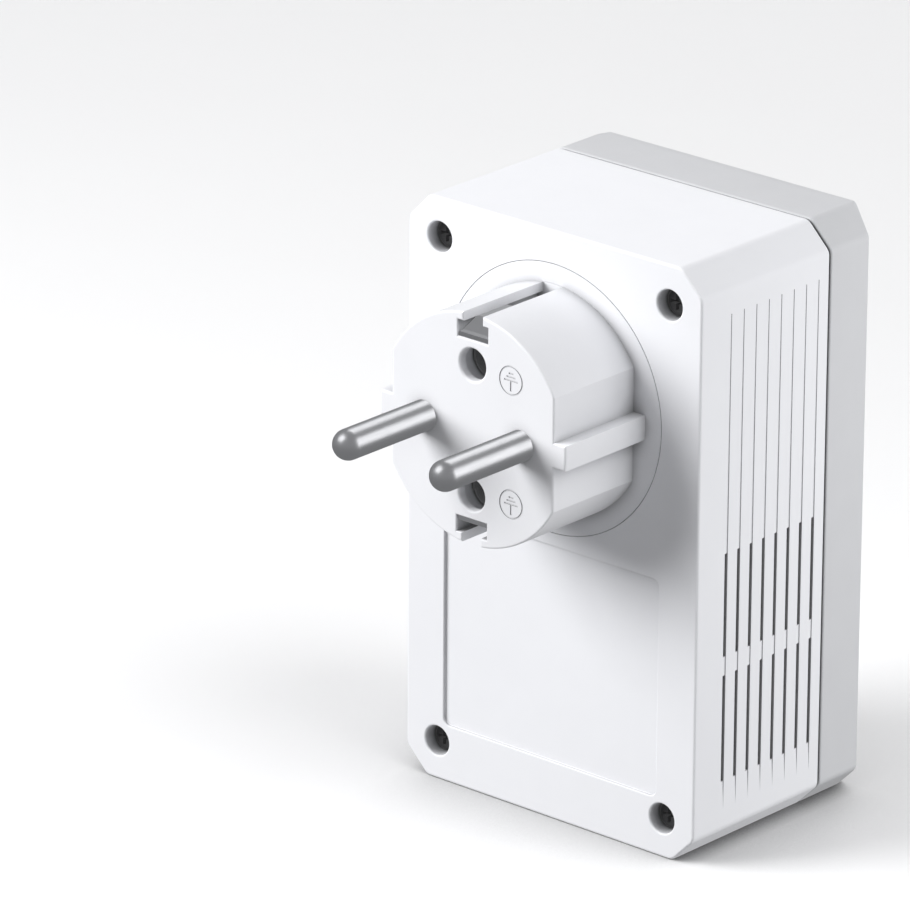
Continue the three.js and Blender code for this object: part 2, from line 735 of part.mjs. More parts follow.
// Turning plate with two ramped paddles that cover the pin holes until both pins push on them.
function safetyShutter() {
  const hub = bar(0, 0, HUB_R, SHUTTER_BACK - 1.1, SHUTTER_FRONT, MIDDLE);
  const beamHeight = [-SHUTTER_BEAM_HALF, SHUTTER_BEAM_HALF];
  const beam = box([-PIN_X, PIN_X], [SHUTTER_BACK, SHUTTER_FRONT], beamHeight);
  const paddles = BOTH.map((side) =>
    bar(side * PIN_X, 0, PADDLE_R, SHUTTER_BACK, SHUTTER_FRONT, MIDDLE),
  );
  const ramps = BOTH.map((side) => {
    const near = side > 0 ? 5.8 : -13.2;
    const ramp = [
      [SHUTTER_FRONT + 0.1, side * -1],
      [SHUTTER_FRONT + 0.1, side * 3.8],
      [SHUTTER_FRONT - 1.1, side * 3.8],
    ];
    return sideProfile(ramp, near, near + 7.4);
  });
  const bore = bar(0, 0, PIVOT_R + 0.1, SHUTTER_BACK - 2, SHUTTER_FRONT + 1, MIDDLE);
  return cut(join(hub, beam, ...paddles), ...ramps, bore);
}

class SpringPath extends THREE.Curve {
  // Two and a quarter turns round the hub with a straight leg at each end.
  getPoint(t, target = new THREE.Vector3()) {
    const coilRadius = 3.5;
    const turns = 2.25;
    const legShare = 0.1;
    const legLength = 4.5;
    const along = THREE.MathUtils.clamp((t - legShare) / (1 - 2 * legShare), 0, 1);
    const angle = along * turns * Math.PI * 2;
    const y = SPRING_BACK + 0.9 * along;
    const start = Math.max(0, 1 - t / legShare) * legLength;
    const end = Math.max(0, (t - 1) / legShare + 1) * legLength;
    const run = end - start;
    return target.set(
      coilRadius * Math.cos(angle) - run * Math.sin(angle),
      y,
      coilRadius * Math.sin(angle) + run * Math.cos(angle),
    );
  }
}

function roundSection(radius, sides) {
  const points = [];
  for (let i = 0; i < sides; i++) {
    const angle = (i / sides) * Math.PI * 2;
    points.push(new THREE.Vector2(radius * Math.cos(angle), radius * Math.sin(angle)));
  }
  return new THREE.Shape(points);
}

function wire(path, radius, steps, sides) {
  const options = { extrudePath: path, steps, bevelEnabled: false };
  return solidOf(new THREE.ExtrudeGeometry(roundSection(radius, sides), options));
}

place("socket_insert", socketInsert(), finishes.lightGrey);
place("socket_earth_bow", socketEarthBow(), finishes.nickel);
place("earth_rivet", earthRivet(), finishes.brass);
place("contact_carrier", contactCarrier(), finishes.natural);
for (const side of BOTH)
  place(`line_contact_${sideName(side)}`, lineContact(side), finishes.brass);
place("safety_shutter", safetyShutter(), finishes.white);
place("shutter_spring", wire(new SpringPath(), 0.22, 40, 5), finishes.steel);

// ---------------------------------------------------------------- screws

// A pan head with a cross recess on a plain shank, its head's top face at y = 0, pointing +Y.
function screw(headRadius, headHeight, shankRadius, length, recess) {
  const body = join(
    bar(0, 0, headRadius, 0, headHeight, MIDDLE),
    bar(0, 0, shankRadius, headHeight / 2, length, SMALL),
  );
  const depth = headHeight * 0.6;
  return cut(
    body,
    box([-recess, recess], [-1, depth], [-recess / 4, recess / 4]),
    box([-recess / 4, recess / 4], [-1, depth], [-recess, recess]),
  );
}

for (const side of BOTH) {
  for (const [level, z] of SCREW_LEVELS) {
    const caseScrew = screw(HEAD_R, HEAD_SEAT - HEAD_FACE, 1.2, 17, 1.35);
    const at = [side * SCREW_X, HEAD_FACE, z];
    place(`case_screw_${level}_${sideName(side)}`, caseScrew, finishes.blackSteel, at);
  }
  const boardScrew = screw(2.4, 1.5, 1, 8, 1.3);
  const boardAt = [side * BOARD_SCREW_X, ON_BOARD + 1.5, BOARD_SCREW_Z];
  place(`board_screw_${sideName(side)}`, boardScrew, finishes.steel, boardAt, [0, 0, Math.PI]);
  const carrierScrew = screw(2.1, 1.6, 0.9, 14.5, 1.2);
  const carrierAt = [side * CARRIER_SCREW, CARRIER_BACK + 0.4, side * CARRIER_SCREW];
  place(`carrier_screw_${sideName(side)}`, carrierScrew, finishes.steel, carrierAt);
}

// ---------------------------------------------------------------- board and its components

function mainBoard() {
  const outline = new THREE.Shape(
    [
      [-BOARD_NOTCH_X, BOARD_BOTTOM],
      [BOARD_NOTCH_X, BOARD_BOTTOM],
      [BOARD_NOTCH_X, BOARD_NOTCH_Z],
      [BOARD_HALF, BOARD_NOTCH_Z],
      [BOARD_HALF, BOARD_TOP],
      [-BOARD_HALF, BOARD_TOP],
      [-BOARD_HALF, BOARD_NOTCH_Z],
      [-BOARD_NOTCH_X, BOARD_NOTCH_Z],
    ].map(([x, z]) => new THREE.Vector2(x, z)),
  );
  const holes = BOTH.map((side) =>
    bar(side * BOARD_SCREW_X, BOARD_SCREW_Z, BOARD_HOLE_R, BOARD_BACK - 1, BOARD_FRONT + 1, SMALL),
  );
  return cut(plate(outline, BOARD_BACK, BOARD_FRONT), ...holes);
}

// A can capacitor standing on the board, with the rolled groove near its foot.
function canCapacitor(radius, height) {
  const profile = [
    [0, 0],
    [radius, 0],
    [radius, 1.2],
    [radius - 0.4, 1.8],
    [radius, 2.4],
    [radius, height - 0.5],
    [radius - 0.5, height],
    [0, height],
  ];
  return turned(profile, CAN_FACETS);
}

function roundedBlock(width, height, depth, radius = 0.6) {
  const outline = roundedRectangle(-width / 2, width / 2, -depth / 2, depth / 2, radius);
  return plate(outline, 0, height, 2);
}

function transformerCore() {
  return cut(
    box([-7.2, 7.2], [3.5, 8.9], [-7.2, 7.2]),
    box([-4.6, 4.6], [3, 9.5], [-4.8, 4.8]),
  );
}

function transformerWinding() {
  return join(roundedBlock(8.6, 14, 9, 1.5), box([-6, 6], [0, 2.6], [-7, 7]));
}

function chipHeatsink() {
  const base = box([-5, 5], [0, 1.4], [-5, 5]);
  const fins = [];
  for (let i = 0; i < 5; i++) {
    const x = -4.6 + i * 2.1;
    fins.push(box([x, x + 0.8], [1, 6], [-5, 5]));
  }
  return join(base, ...fins);
}

function toroid(outer, inner, height) {
  return turned([
    [inner, 0],
    [outer, 0],
    [outer, height],
    [inner, height],
    [inner, 0],
  ]);
}

// A chip package with a row of legs along its two long sides.
function packagedPart(width, height, depth, legs) {
  const body = box([-width / 2, width / 2], [0.4, height], [-depth / 2, depth / 2]);
  const pitch = width / legs;
  const feet = [];
  for (let i = 0; i < legs; i++) {
    const x = -width / 2 + pitch * (i + 0.5);
    feet.push(box([x - 0.25, x + 0.25], [0, 0.7], [-depth / 2 - 0.8, depth / 2 + 0.8]));
  }
  return join(body, ...feet);
}

function ethernetJack() {
  const floor = ON_BOARD + JACK_SILL;
  const mouthZ = [JACK_MOUTH - 1, JACK_MOUTH + JACK_REACH];
  // The stepped mouth: the plug's body, then its latch in two widths.
  const steps = [
    [5.9, 0, 7.4],
    [3.1, 7, 9.6],
    [1.9, 9, 10.4],
  ];
  const tools = steps.map(([half, low, high]) =>
    box([JACK_X - half, JACK_X + half], [floor + low, floor + high], mouthZ),
  );
  const body = [JACK_X - JACK_HALF, JACK_X + JACK_HALF];
  return cut(box(body, [ON_BOARD, JACK_FRONT], [JACK_MOUTH, JACK_TOP]), ...tools);
}

// Spring wires on a common block at the back of the jack's mouth.
function jackContacts() {
  const floor = ON_BOARD + JACK_SILL + GAP;
  const back = JACK_MOUTH + JACK_REACH - GAP;
  const block = box([JACK_X - 5.5, JACK_X + 5.5], [floor, floor + 1.6], [back - 2, back]);
  const wires = [];
  for (let i = 0; i < CONTACT_COUNT; i++) {
    const x = JACK_X + (i - (CONTACT_COUNT - 1) / 2) * CONTACT_PITCH;
    const leaf = [
      [floor + 0.9, back - 1.5],
      [floor + 1.3, back - 1.5],
      [floor + 1.9, back - 8.2],
      [floor + 1.5, back - 8.2],
    ];
    wires.push(sideProfile(leaf, x - 0.2, x + 0.2));
  }
  return join(block, ...wires);
}

place("main_board", mainBoard(), finishes.board);
place("fuse", canCapacitor(4.1, 7.6), finishes.brown, [-13.6, ON_BOARD, -29.4]);
place("varistor", roundedBlock(9.6, 11, 3.6, 1.6), finishes.blue, [-3.6, ON_BOARD, -27.2]);
place("x2_capacitor", roundedBlock(13, 12, 6), finishes.yellow, [10.6, ON_BOARD, -28.6]);
place("line_choke", toroid(6, 2.6, 7), finishes.copper, [16.6, ON_BOARD, -39.6]);
const transformerAt = [-18.2, ON_BOARD, -42.2];
place("transformer_core", transformerCore(), finishes.ferrite, transformerAt);
place("transformer_winding", transformerWinding(), finishes.yellow, transformerAt);
for (const side of BOTH) {
  const at = [side * 4.4, ON_BOARD, -41.8];
  place(`bulk_capacitor_${sideName(side)}`, canCapacitor(4, 16), finishes.black, at);
}
place("output_capacitor", canCapacitor(3, 11), finishes.black, [-5.4, ON_BOARD, -54.4]);
const couplingAt = [-22, ON_BOARD, -53.2];
place("coupling_transformer", roundedBlock(6.6, 6.5, 6.6), finishes.ferrite, couplingAt);
place("powerline_chip", packagedPart(8.6, 1.4, 7, 10), finishes.black, [-13.4, ON_BOARD, -56.6]);
const heatsinkAt = [-13.4, ON_BOARD + 1.4 + GAP, -56.6];
place("chip_heatsink", chipHeatsink(), finishes.aluminium, heatsinkAt);
const magneticsAt = [9, BOARD_BACK - GAP, -45.5];
const magnetics = packagedPart(12.7, 3.4, 7, 8);
place("ethernet_transformer", magnetics, finishes.black, magneticsAt, [0, 0, Math.PI]);
place("crystal", roundedBlock(3.2, 2.6, 8, 1.4), finishes.steel, [22.8, ON_BOARD, -51.6]);
place("ethernet_jack", ethernetJack(), finishes.steel);
place("jack_contacts", jackContacts(), finishes.brass);

// ---------------------------------------------------------------- leads

function mainsLead(side) {
  const path = new THREE.CatmullRomCurve3(
    [
      [16.1, 24, -1],
      [16.4, 24, -6],
      [17.4, 24, -12],
      [18, 24, -18],
      [18, 24, -22],
      [18, 24.3, -24.8],
      [18, 25.4, -26.4],
      [18, 26.6, -26.8],
    ].map(([x, y, z]) => new THREE.Vector3(side * x, y, z)),
  );
  return wire(path, 0.8, 14, 6);
}

place("live_lead", mainsLead(1), finishes.brown);
place("neutral_lead", mainsLead(-1), finishes.blue);

// ---------------------------------------------------------------- controls and indicators

// A small push switch whose plunger hole opens at y = height.
function pushSwitch(width, height) {
  return cut(
    box([-width / 2, width / 2], [0, height], [-width / 2, width / 2]),
    bar(0, 0, 1.2, 1.2, height + 1, SMALL),
  );
}

function pairButton() {
  const cap = plate(pill(PAIR_HALF_LENGTH, PAIR_HALF_HEIGHT), FRONT - 3, FRONT);
  const flange = plate(
    pill(PAIR_HALF_LENGTH + 1, PAIR_HALF_HEIGHT + 1),
    FRONT - WALL - GAP - 1.2,
    FRONT - WALL - GAP,
  );
  const stem = bar(0, PAIR_Z, 1.5, ON_BOARD + 5.1, FRONT - 3, SMALL);
  return join(cap, flange, stem);
}

function resetButton() {
  const stemTop = BOTTOM + 3.7;
  return join(
    upright(RESET_X, RESET_Y, RESET_R, BOTTOM + 0.2, stemTop),
    upright(RESET_X, RESET_Y, 2.2, BOTTOM + WALL + GAP, stemTop - 0.5),
  );
}

function lightGuide() {
  const rods = [-LIGHT_X, 0, LIGHT_X].map((x) =>
    bar(x, LIGHT_Z, LIGHT_R, ON_BOARD + 1.2, FRONT, SMALL),
  );
  const bridge = box(
    [-LIGHT_X - 1.5, LIGHT_X + 1.5],
    [FRONT - 6.5, FRONT - 5],
    [LIGHT_Z - 1.6, LIGHT_Z + 1.6],
  );
  return join(bridge, ...rods);
}

place("pair_switch", pushSwitch(4.4, 3.6), finishes.black, [0, ON_BOARD, PAIR_Z]);
const pairPlunger = bar(0, 0, PLUNGER_R, 0, 2.9, SMALL);
place("pair_plunger", pairPlunger, finishes.white, [0, ON_BOARD + 1.9, PAIR_Z]);
place("pair_button", pairButton(), finishes.lightGrey);
const switchTop = BOTTOM + 4.9;
const facingDown = [-Math.PI / 2, 0, 0];
const resetSwitchAt = [RESET_X, RESET_Y, switchTop + 3.4];
place("reset_switch", pushSwitch(4.4, 3.4), finishes.black, resetSwitchAt, facingDown);
place(
  "reset_plunger",
  upright(RESET_X, RESET_Y, PLUNGER_R, BOTTOM + 4, switchTop + 1.4, PLUNGER_FACETS),
  finishes.white,
);
place("reset_button", resetButton(), finishes.lightGrey);
place("light_guide", lightGuide(), finishes.clear);
TRIO.forEach((name, i) => {
  const at = [(i - 1) * LIGHT_X, ON_BOARD, LIGHT_Z];
  place(`led_${name}`, roundedBlock(2, 0.8, 1.4, 0.2), finishes.clear, at);
});

export default adapter;
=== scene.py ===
"""A powerline adapter with a pass-through socket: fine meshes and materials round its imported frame.

Lengths are in millimetres until a piece is finished, when its mesh is scaled to metres.
"""

import json
import math

import bmesh
import bpy
from mathutils import Matrix, Vector


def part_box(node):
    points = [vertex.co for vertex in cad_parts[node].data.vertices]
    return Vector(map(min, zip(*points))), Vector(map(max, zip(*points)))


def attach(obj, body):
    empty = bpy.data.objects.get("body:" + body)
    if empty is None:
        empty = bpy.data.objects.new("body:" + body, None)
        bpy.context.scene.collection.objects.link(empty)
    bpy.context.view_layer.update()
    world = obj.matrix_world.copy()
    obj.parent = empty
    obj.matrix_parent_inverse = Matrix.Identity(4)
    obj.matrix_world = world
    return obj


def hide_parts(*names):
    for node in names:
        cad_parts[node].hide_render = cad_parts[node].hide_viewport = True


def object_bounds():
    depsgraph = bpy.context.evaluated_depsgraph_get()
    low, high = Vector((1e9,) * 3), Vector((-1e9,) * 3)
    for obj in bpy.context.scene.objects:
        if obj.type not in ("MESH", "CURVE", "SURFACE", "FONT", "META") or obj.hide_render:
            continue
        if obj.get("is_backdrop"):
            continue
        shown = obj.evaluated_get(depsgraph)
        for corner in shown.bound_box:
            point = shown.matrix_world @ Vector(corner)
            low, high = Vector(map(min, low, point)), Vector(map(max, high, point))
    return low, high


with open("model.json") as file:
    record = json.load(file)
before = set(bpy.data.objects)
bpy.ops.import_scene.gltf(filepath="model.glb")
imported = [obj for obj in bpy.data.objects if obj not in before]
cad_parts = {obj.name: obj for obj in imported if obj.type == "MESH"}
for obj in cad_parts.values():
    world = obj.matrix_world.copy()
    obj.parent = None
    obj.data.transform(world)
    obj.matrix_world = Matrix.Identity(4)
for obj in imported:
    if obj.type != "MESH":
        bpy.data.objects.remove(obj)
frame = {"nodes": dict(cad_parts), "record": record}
cad_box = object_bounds()
scene = bpy.context.scene

# ---------------------------------------------------------------- sizes, from the frame

MM = 0.001
record = frame["record"]
BODY_OF = {node: body for body, nodes in record["behaviour"]["bodies"].items() for node in nodes}
SLOT_OF = {part["node"]: part["material_slot"] for part in record["subparts"]}


def span(node):
    """A node's lowest and highest corner, in millimetres."""
    low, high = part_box(node)
    return low / MM, high / MM


def middle(node):
    low, high = span(node)
    return (low + high) / 2


shell_low, shell_high = span("rear_shell")
HALF_WIDTH = shell_high.x
REAR = shell_low.y
SEAM = shell_high.y
TOP = shell_high.z
BOTTOM = shell_low.z
FRONT = span("front_cover")[1].y
COVER_START = SEAM + 0.4
CORNER_CUT = 4.1
CORNER_R = 1.8
WALL = 2.0
BEVEL_WIDTH = 4.2
BEVEL_DEPTH = 2.1
GAP = 0.3
SEAM_LINE = 0.06

PIN_X = middle("plug_pin_right").x
PIN_R = 2.4
PLUG_R = 18.2
PLUG_FLAT = 15.87
PLUG_WALL = 2.2
PLUG_FACE_WALL = 2.5
PIN_BOSS_R = 4.1
PIN_BOSS_END = 17.4
EARTH_BOSS_R = 4.4
RIB_HALF = 1.95
DISC_R = 21.25
FLANGE_R = span("plug_insert")[1].x
FLANGE_BACK = span("plug_insert")[1].y
EARTH_HOLE_Z = middle("earth_sleeve_upper").z
EARTH_HOLE_R = 2.52
NOTCH_FLOOR = 14.1
NOTCH_STEP = 16.65
NOTCH_HALF = 2.93
NOTCH_NECK = 1.86
NOTCH_END = 17.9

SCREW_X = middle("case_screw_upper_right").x
SCREW_LEVELS = [middle(f"case_screw_{level}_right").z for level in ("upper", "lower")]
HEAD_HEIGHT = 1.6
HEAD_SEAT = span("case_screw_upper_right")[0].y + HEAD_HEIGHT
WELL_R = 2.4
BOSS_R = 4.4
BOSS_END = 24.5
SHANK_HOLE_R = 1.6
COVER_BOSS_R = 3.2
COVER_BOSS_START = 24.8
PILOT_R = 1.25
PILOT_END = 40
STANDOFF = (22, -28)
STANDOFF_R = 2.8
STANDOFF_HOLE_R = 1.3
PEG = (23.5, -50)
PEG_R = 1.8
STANDOFF_END = 26.7
LABEL = (-21.2, 21.2, -58.3, -23.4)
LABEL_DEPTH = 0.5
LIP_START = 46
LIP_WALL = 1.2

VENT_COUNT = 8
VENT_FIRST = 24.93
VENT_PITCH = 2.886
VENT_TIP = 18.6
VENT_TAIL = -60.2
VENT_DEPTH = 0.16
VENT_WIDTH = 1.0
SLOT_WIDTH = 0.65
SLOT_SPANS = ((-35.6, -19.1), (-55.7, -38.6))

SOCKET_R = 19.5
SOCKET_RIM_R = 21.7
SOCKET_FLOOR = 41.4
FLOOR_BACK = 38.9
BLOCK_FACE = 16.6
BLOCK_HALF = 8.0
CARRIER_SCREW_X = 12
GROOVE_FACE = 19.0
GROOVE_HALF = 2.5

jack_low, jack_high = span("ethernet_jack")
SHIELD = 0.35
PAIR_Z = middle("pair_button").z
PAIR_LENGTH = 5.5
PAIR_HEIGHT = 3
RESET_X = middle("reset_button").x
RESET_Y = middle("reset_button").y
RESET_R = 1.5
PLUNGER_R = 0.9
LIGHT_X = middle("led_right").x
LIGHT_Z = middle("led_right").z
LIGHT_R = 1.0
ON_BOARD = span("fuse")[0].y

BOTH = (-1, 1)
SIDE_NAME = {-1: "left", 1: "right"}
LEVEL_NAME = {-1: "lower", 1: "upper"}
ROUND = 128
FINE = 48
ARC_STEPS = 5
OVERSHOOT = 1.0
WELD = 0.0005
FLAT = math.cos(math.radians(0.5))
SOFT_CREASE = 38
HARD_CREASE = 26

# ---------------------------------------------------------------- outlines


def circle(radius, segments=FINE, x=0.0, z=0.0):
    angles = [math.tau * i / segments for i in range(segments)]
    return [(x + radius * math.cos(a), z + radius * math.sin(a)) for a in angles]


def arc(radius, start, end, steps):
    """Points round the origin from one angle to another, in degrees."""
    angles = [math.radians(start + (end - start) * i / steps) for i in range(steps + 1)]
    return [(radius * math.cos(a), radius * math.sin(a)) for a in angles]


def rounded(corners, radius, steps=ARC_STEPS, closed=True):
    """An outline, or an open line, whose corners are turned into arcs."""
    points = []
    for i, corner in enumerate(corners):
        here = Vector(corner)
        if not closed and i in (0, len(corners) - 1):
            points.append(tuple(here))
            continue
        towards = (here - Vector(corners[i - 1])).normalized()
        away = (Vector(corners[(i + 1) % len(corners)]) - here).normalized()
        turn = math.atan2(towards.x * away.y - towards.y * away.x, towards.dot(away))
        start = here - towards * radius * math.tan(abs(turn) / 2)
        centre = start + Vector((-towards.y, towards.x)) * math.copysign(radius, turn)
        for step in range(steps + 1):
            turned_by = Matrix.Rotation(turn * step / steps, 2)
            points.append(tuple(centre + turned_by @ (start - centre)))
    return points


def rectangle(x0, x1, z0, z1):
    return [(x0, z0), (x1, z0), (x1, z1), (x0, z1)]


def mirrored(right):
    """The points of an outline's right half, followed by those of its left half."""
    return right + [(-x, z) for x, z in reversed(right)]


def pill(half_length, half_height, x=0.0, z=0.0):
    corners = rectangle(x - half_length, x + half_length, z - half_height, z + half_height)
    return rounded(corners, half_height - 0.01, steps=12)


def grown(outline, distance):
    """An outline moved outwards by a distance, its corners mitred."""
    points = []
    for i, corner in enumerate(outline):
        here = Vector(corner)
        first = (here - Vector(outline[i - 1])).normalized()
        second = (Vector(outline[(i + 1) % len(outline)]) - here).normalized()
        before = Vector((first.y, -first.x))
        after = Vector((second.y, -second.x))
        points.append(tuple(here + (before + after) * distance / (1 + before.dot(after))))
    return points


def edge_steps(radius):
    """(growth, depth) pairs across the edge of a prism: rounded if positive, flared if negative."""
    if radius == 0:
        return [(0.0, 0.0)]
    size = abs(radius)
    angles = [math.pi / 2 * i / ARC_STEPS for i in range(ARC_STEPS + 1)]
    steps = [(-radius * (1 - math.sin(a)), size * (1 - math.cos(a))) for a in angles]
    return steps if radius > 0 else [(size, -OVERSHOOT)] + steps


# ---------------------------------------------------------------- solids


def as_object(bm):
    mesh = bpy.data.meshes.new("solid")
    bm.to_mesh(mesh)
    bm.free()
    made = bpy.data.objects.new("solid", mesh)
    scene.collection.objects.link(made)
    return made


def skinned(rings, closed=False):
    """A closed solid over rings of points, with capped ends unless the rings close up."""
    bm = bmesh.new()
    rows = [[bm.verts.new(point) for point in ring] for ring in rings]
    pairs = list(zip(rows, rows[1:]))
    if closed:
        pairs.append((rows[-1], rows[0]))
    else:
        bm.faces.new(rows[0])
        bm.faces.new(rows[-1])
    for lower, upper in pairs:
        for i in range(len(lower)):
            bm.faces.new((lower[i - 1], lower[i], upper[i], upper[i - 1]))
    bmesh.ops.remove_doubles(bm, verts=bm.verts, dist=WELD)
    bmesh.ops.recalc_face_normals(bm, faces=bm.faces)
    return as_object(bm)


PLACES = {
    "x": lambda u, v, along: (along, u, v),
    "y": lambda u, v, along: (u, along, v),
    "z": lambda u, v, along: (u, v, along),
}


def prism(outline, start, end, first=0.0, last=0.0, axis="y"):
    """An outline drawn across an axis and extruded along it, each end's edge rounded or flared."""
    steps = [(growth, start + depth) for growth, depth in edge_steps(first)]
    steps += [(growth, end - depth) for growth, depth in reversed(edge_steps(last))]
    put = PLACES[axis]
    return skinned([[put(u, v, along) for u, v in grown(outline, growth)] for growth, along in steps])


def turned(profile, segments=FINE, x=0.0, z=0.0, closed=False):
    """(radius, y) points turned about an axis along Y."""
    rings = [[(u, y, v) for u, v in circle(radius, segments, x, z)] for radius, y in profile]
    return skinned(rings, closed)


def box(xs, ys, zs, edge=0.0):
    made = prism(rectangle(*xs, *ys), *zs, axis="z")
    return bevelled(made, edge) if edge else made


def swept(path, section, across=(1, 0, 0), closed=False):
    """A section of (across, up) points carried along a path, which keeps its direction across."""
    points = [Vector(point) for point in path]
    sideways = Vector(across)
    rings = []
    for i, point in enumerate(points):
        before = points[i - 1] if i or closed else point
        after = points[(i + 1) % len(points)] if i + 1 < len(points) or closed else point
        ahead = (after - before).normalized()
        sideways = (sideways - ahead * sideways.dot(ahead)).normalized()
        up = ahead.cross(sideways)
        rings.append([point + sideways * u + up * v for u, v in section])
    return skinned(rings, closed)


def combined(operation, base, tools):
    for tool in tools:
        modifier = base.modifiers.new("boolean", "BOOLEAN")
        modifier.operation = operation
        modifier.object = tool
        modifier.solver = "MANIFOLD"
    depsgraph = bpy.context.evaluated_depsgraph_get()
    base.data = bpy.data.meshes.new_from_object(base.evaluated_get(depsgraph))
    base.modifiers.clear()
    for tool in tools:
        bpy.data.objects.remove(tool)
    return base


def joined(base, *tools):
    return combined("UNION", base, tools)


def cut(base, *tools):
    return combined("DIFFERENCE", base, tools)


def common(base, *tools):
    return combined("INTERSECT", base, tools)


def bevelled(solid, width, segments=2):
    """Every edge sharper than a crease rounded over."""
    bm = bmesh.new()
    bm.from_mesh(solid.data)
    sharp = [e for e in bm.edges if e.is_manifold and e.calc_face_angle() > math.radians(SOFT_CREASE)]
    bmesh.ops.bevel(
        bm, geom=sharp, offset=width, segments=segments, profile=0.5, affect="EDGES", clamp_overlap=True
    )
    bm.to_mesh(solid.data)
    bm.free()
    return solid


def refined(node, width=0.15):
    """The CAD node's own shape as a new solid with its edges rounded over."""
    bm = bmesh.new()
    bm.from_mesh(frame["nodes"][node].data)
    bmesh.ops.scale(bm, vec=Vector((1, 1, 1)) / MM, verts=bm.verts)
    bmesh.ops.remove_doubles(bm, verts=bm.verts, dist=2 * WELD)
    bmesh.ops.dissolve_limit(bm, angle_limit=math.radians(0.5), verts=bm.verts, edges=bm.edges)
    return bevelled(as_object(bm), width)


def face_regions(bm):
    """Each face's flat region, and each region's area."""
    region_of = {}
    areas = []
    for seed in bm.faces:
        if seed in region_of:
            continue
        region_of[seed] = len(areas)
        spreading = [seed]
        for face in spreading:
            for other in {f for edge in face.edges for f in edge.link_faces} - {face}:
                if other not in region_of and other.normal.dot(face.normal) > FLAT:
                    region_of[other] = len(areas)
                    spreading.append(other)
        areas.append(sum(face.calc_area() for face in spreading))
    return region_of, areas


def smooth_groups(vertex, limit):
    """The faces round a vertex, in groups that no crease divides."""
    waiting = set(vertex.link_faces)
    while waiting:
        group = [waiting.pop()]
        for face in group:
            for edge in set(face.edges) & set(vertex.link_edges):
                for other in edge.link_faces:
                    if other in waiting and other.normal.dot(face.normal) > limit:
                        waiting.remove(other)
                        group.append(other)
        yield group


def shade(mesh, crease):
    """Smooth shading in which a flat face keeps its own normal right up to its rounded edges."""
    bm = bmesh.new()
    bm.from_mesh(mesh)
    bmesh.ops.dissolve_limit(bm, angle_limit=math.radians(0.05), verts=bm.verts, edges=bm.edges)
    bm.normal_update()
    region_of, areas = face_regions(bm)
    limit = math.cos(math.radians(crease))
    corner_normals = {}
    for vertex in bm.verts:
        for group in smooth_groups(vertex, limit):
            regions = {region_of[face]: face.normal for face in group}
            total = sum((normal * areas[region] for region, normal in regions.items()), Vector())
            for face in group:
                corner_normals[face, vertex] = total.normalized()
    normals = [corner_normals[loop.face, loop.vert] for face in bm.faces for loop in face.loops]
    bm.to_mesh(mesh)
    bm.free()
    mesh.polygons.foreach_set("use_smooth", [True] * len(mesh.polygons))
    mesh.normals_split_custom_set(normals)


# ---------------------------------------------------------------- materials


def connect(tree, source, target):
    tree.links.new(source, target)


def noise(tree, vector, size, detail=3.0):
    """Noise whose features are about a given size in millimetres."""
    node = tree.nodes.new("ShaderNodeTexNoise")
    node.inputs["Scale"].default_value = 1 / (size * MM)
    node.inputs["Detail"].default_value = detail
    connect(tree, vector, node.inputs["Vector"])
    return node.outputs["Fac"]


def ranged(tree, value, low, high):
    """A 0.3 to 0.7 noise value stretched to another range."""
    node = tree.nodes.new("ShaderNodeMapRange")
    node.inputs["From Min"].default_value = 0.3
    node.inputs["From Max"].default_value = 0.7
    node.inputs["To Min"].default_value = low
    node.inputs["To Max"].default_value = high
    connect(tree, value, node.inputs["Value"])
    return node.outputs["Result"]


def blended(tree, factor, low, high):
    node = tree.nodes.new("ShaderNodeMix")
    node.data_type = "RGBA"
    node.inputs["A"].default_value = (*low, 1)
    node.inputs["B"].default_value = (*high, 1)
    connect(tree, factor, node.inputs["Factor"])
    return node.outputs["Result"]


def painted_crevice_shade(tree, tone, reach):
    """The tone with painted shade: darkened by ambient occlusion where other surfaces stand close."""
    openness = tree.nodes.new("ShaderNodeAmbientOcclusion")
    openness.samples = 6
    openness.inputs["Distance"].default_value = reach * MM
    share = tree.nodes.new("ShaderNodeMapRange")
    share.inputs["From Max"].default_value = 0.78
    share.inputs["To Min"].default_value = 0.04
    connect(tree, openness.outputs["AO"], share.inputs["Value"])
    painted_shade_mix = tree.nodes.new("ShaderNodeMix")
    painted_shade_mix.data_type = "RGBA"
    painted_shade_mix.blend_type = "MULTIPLY"
    painted_shade_mix.inputs["Factor"].default_value = 1
    connect(tree, tone, painted_shade_mix.inputs["A"])
    connect(tree, share.outputs["Result"], painted_shade_mix.inputs["B"])
    return painted_shade_mix.outputs["Result"]


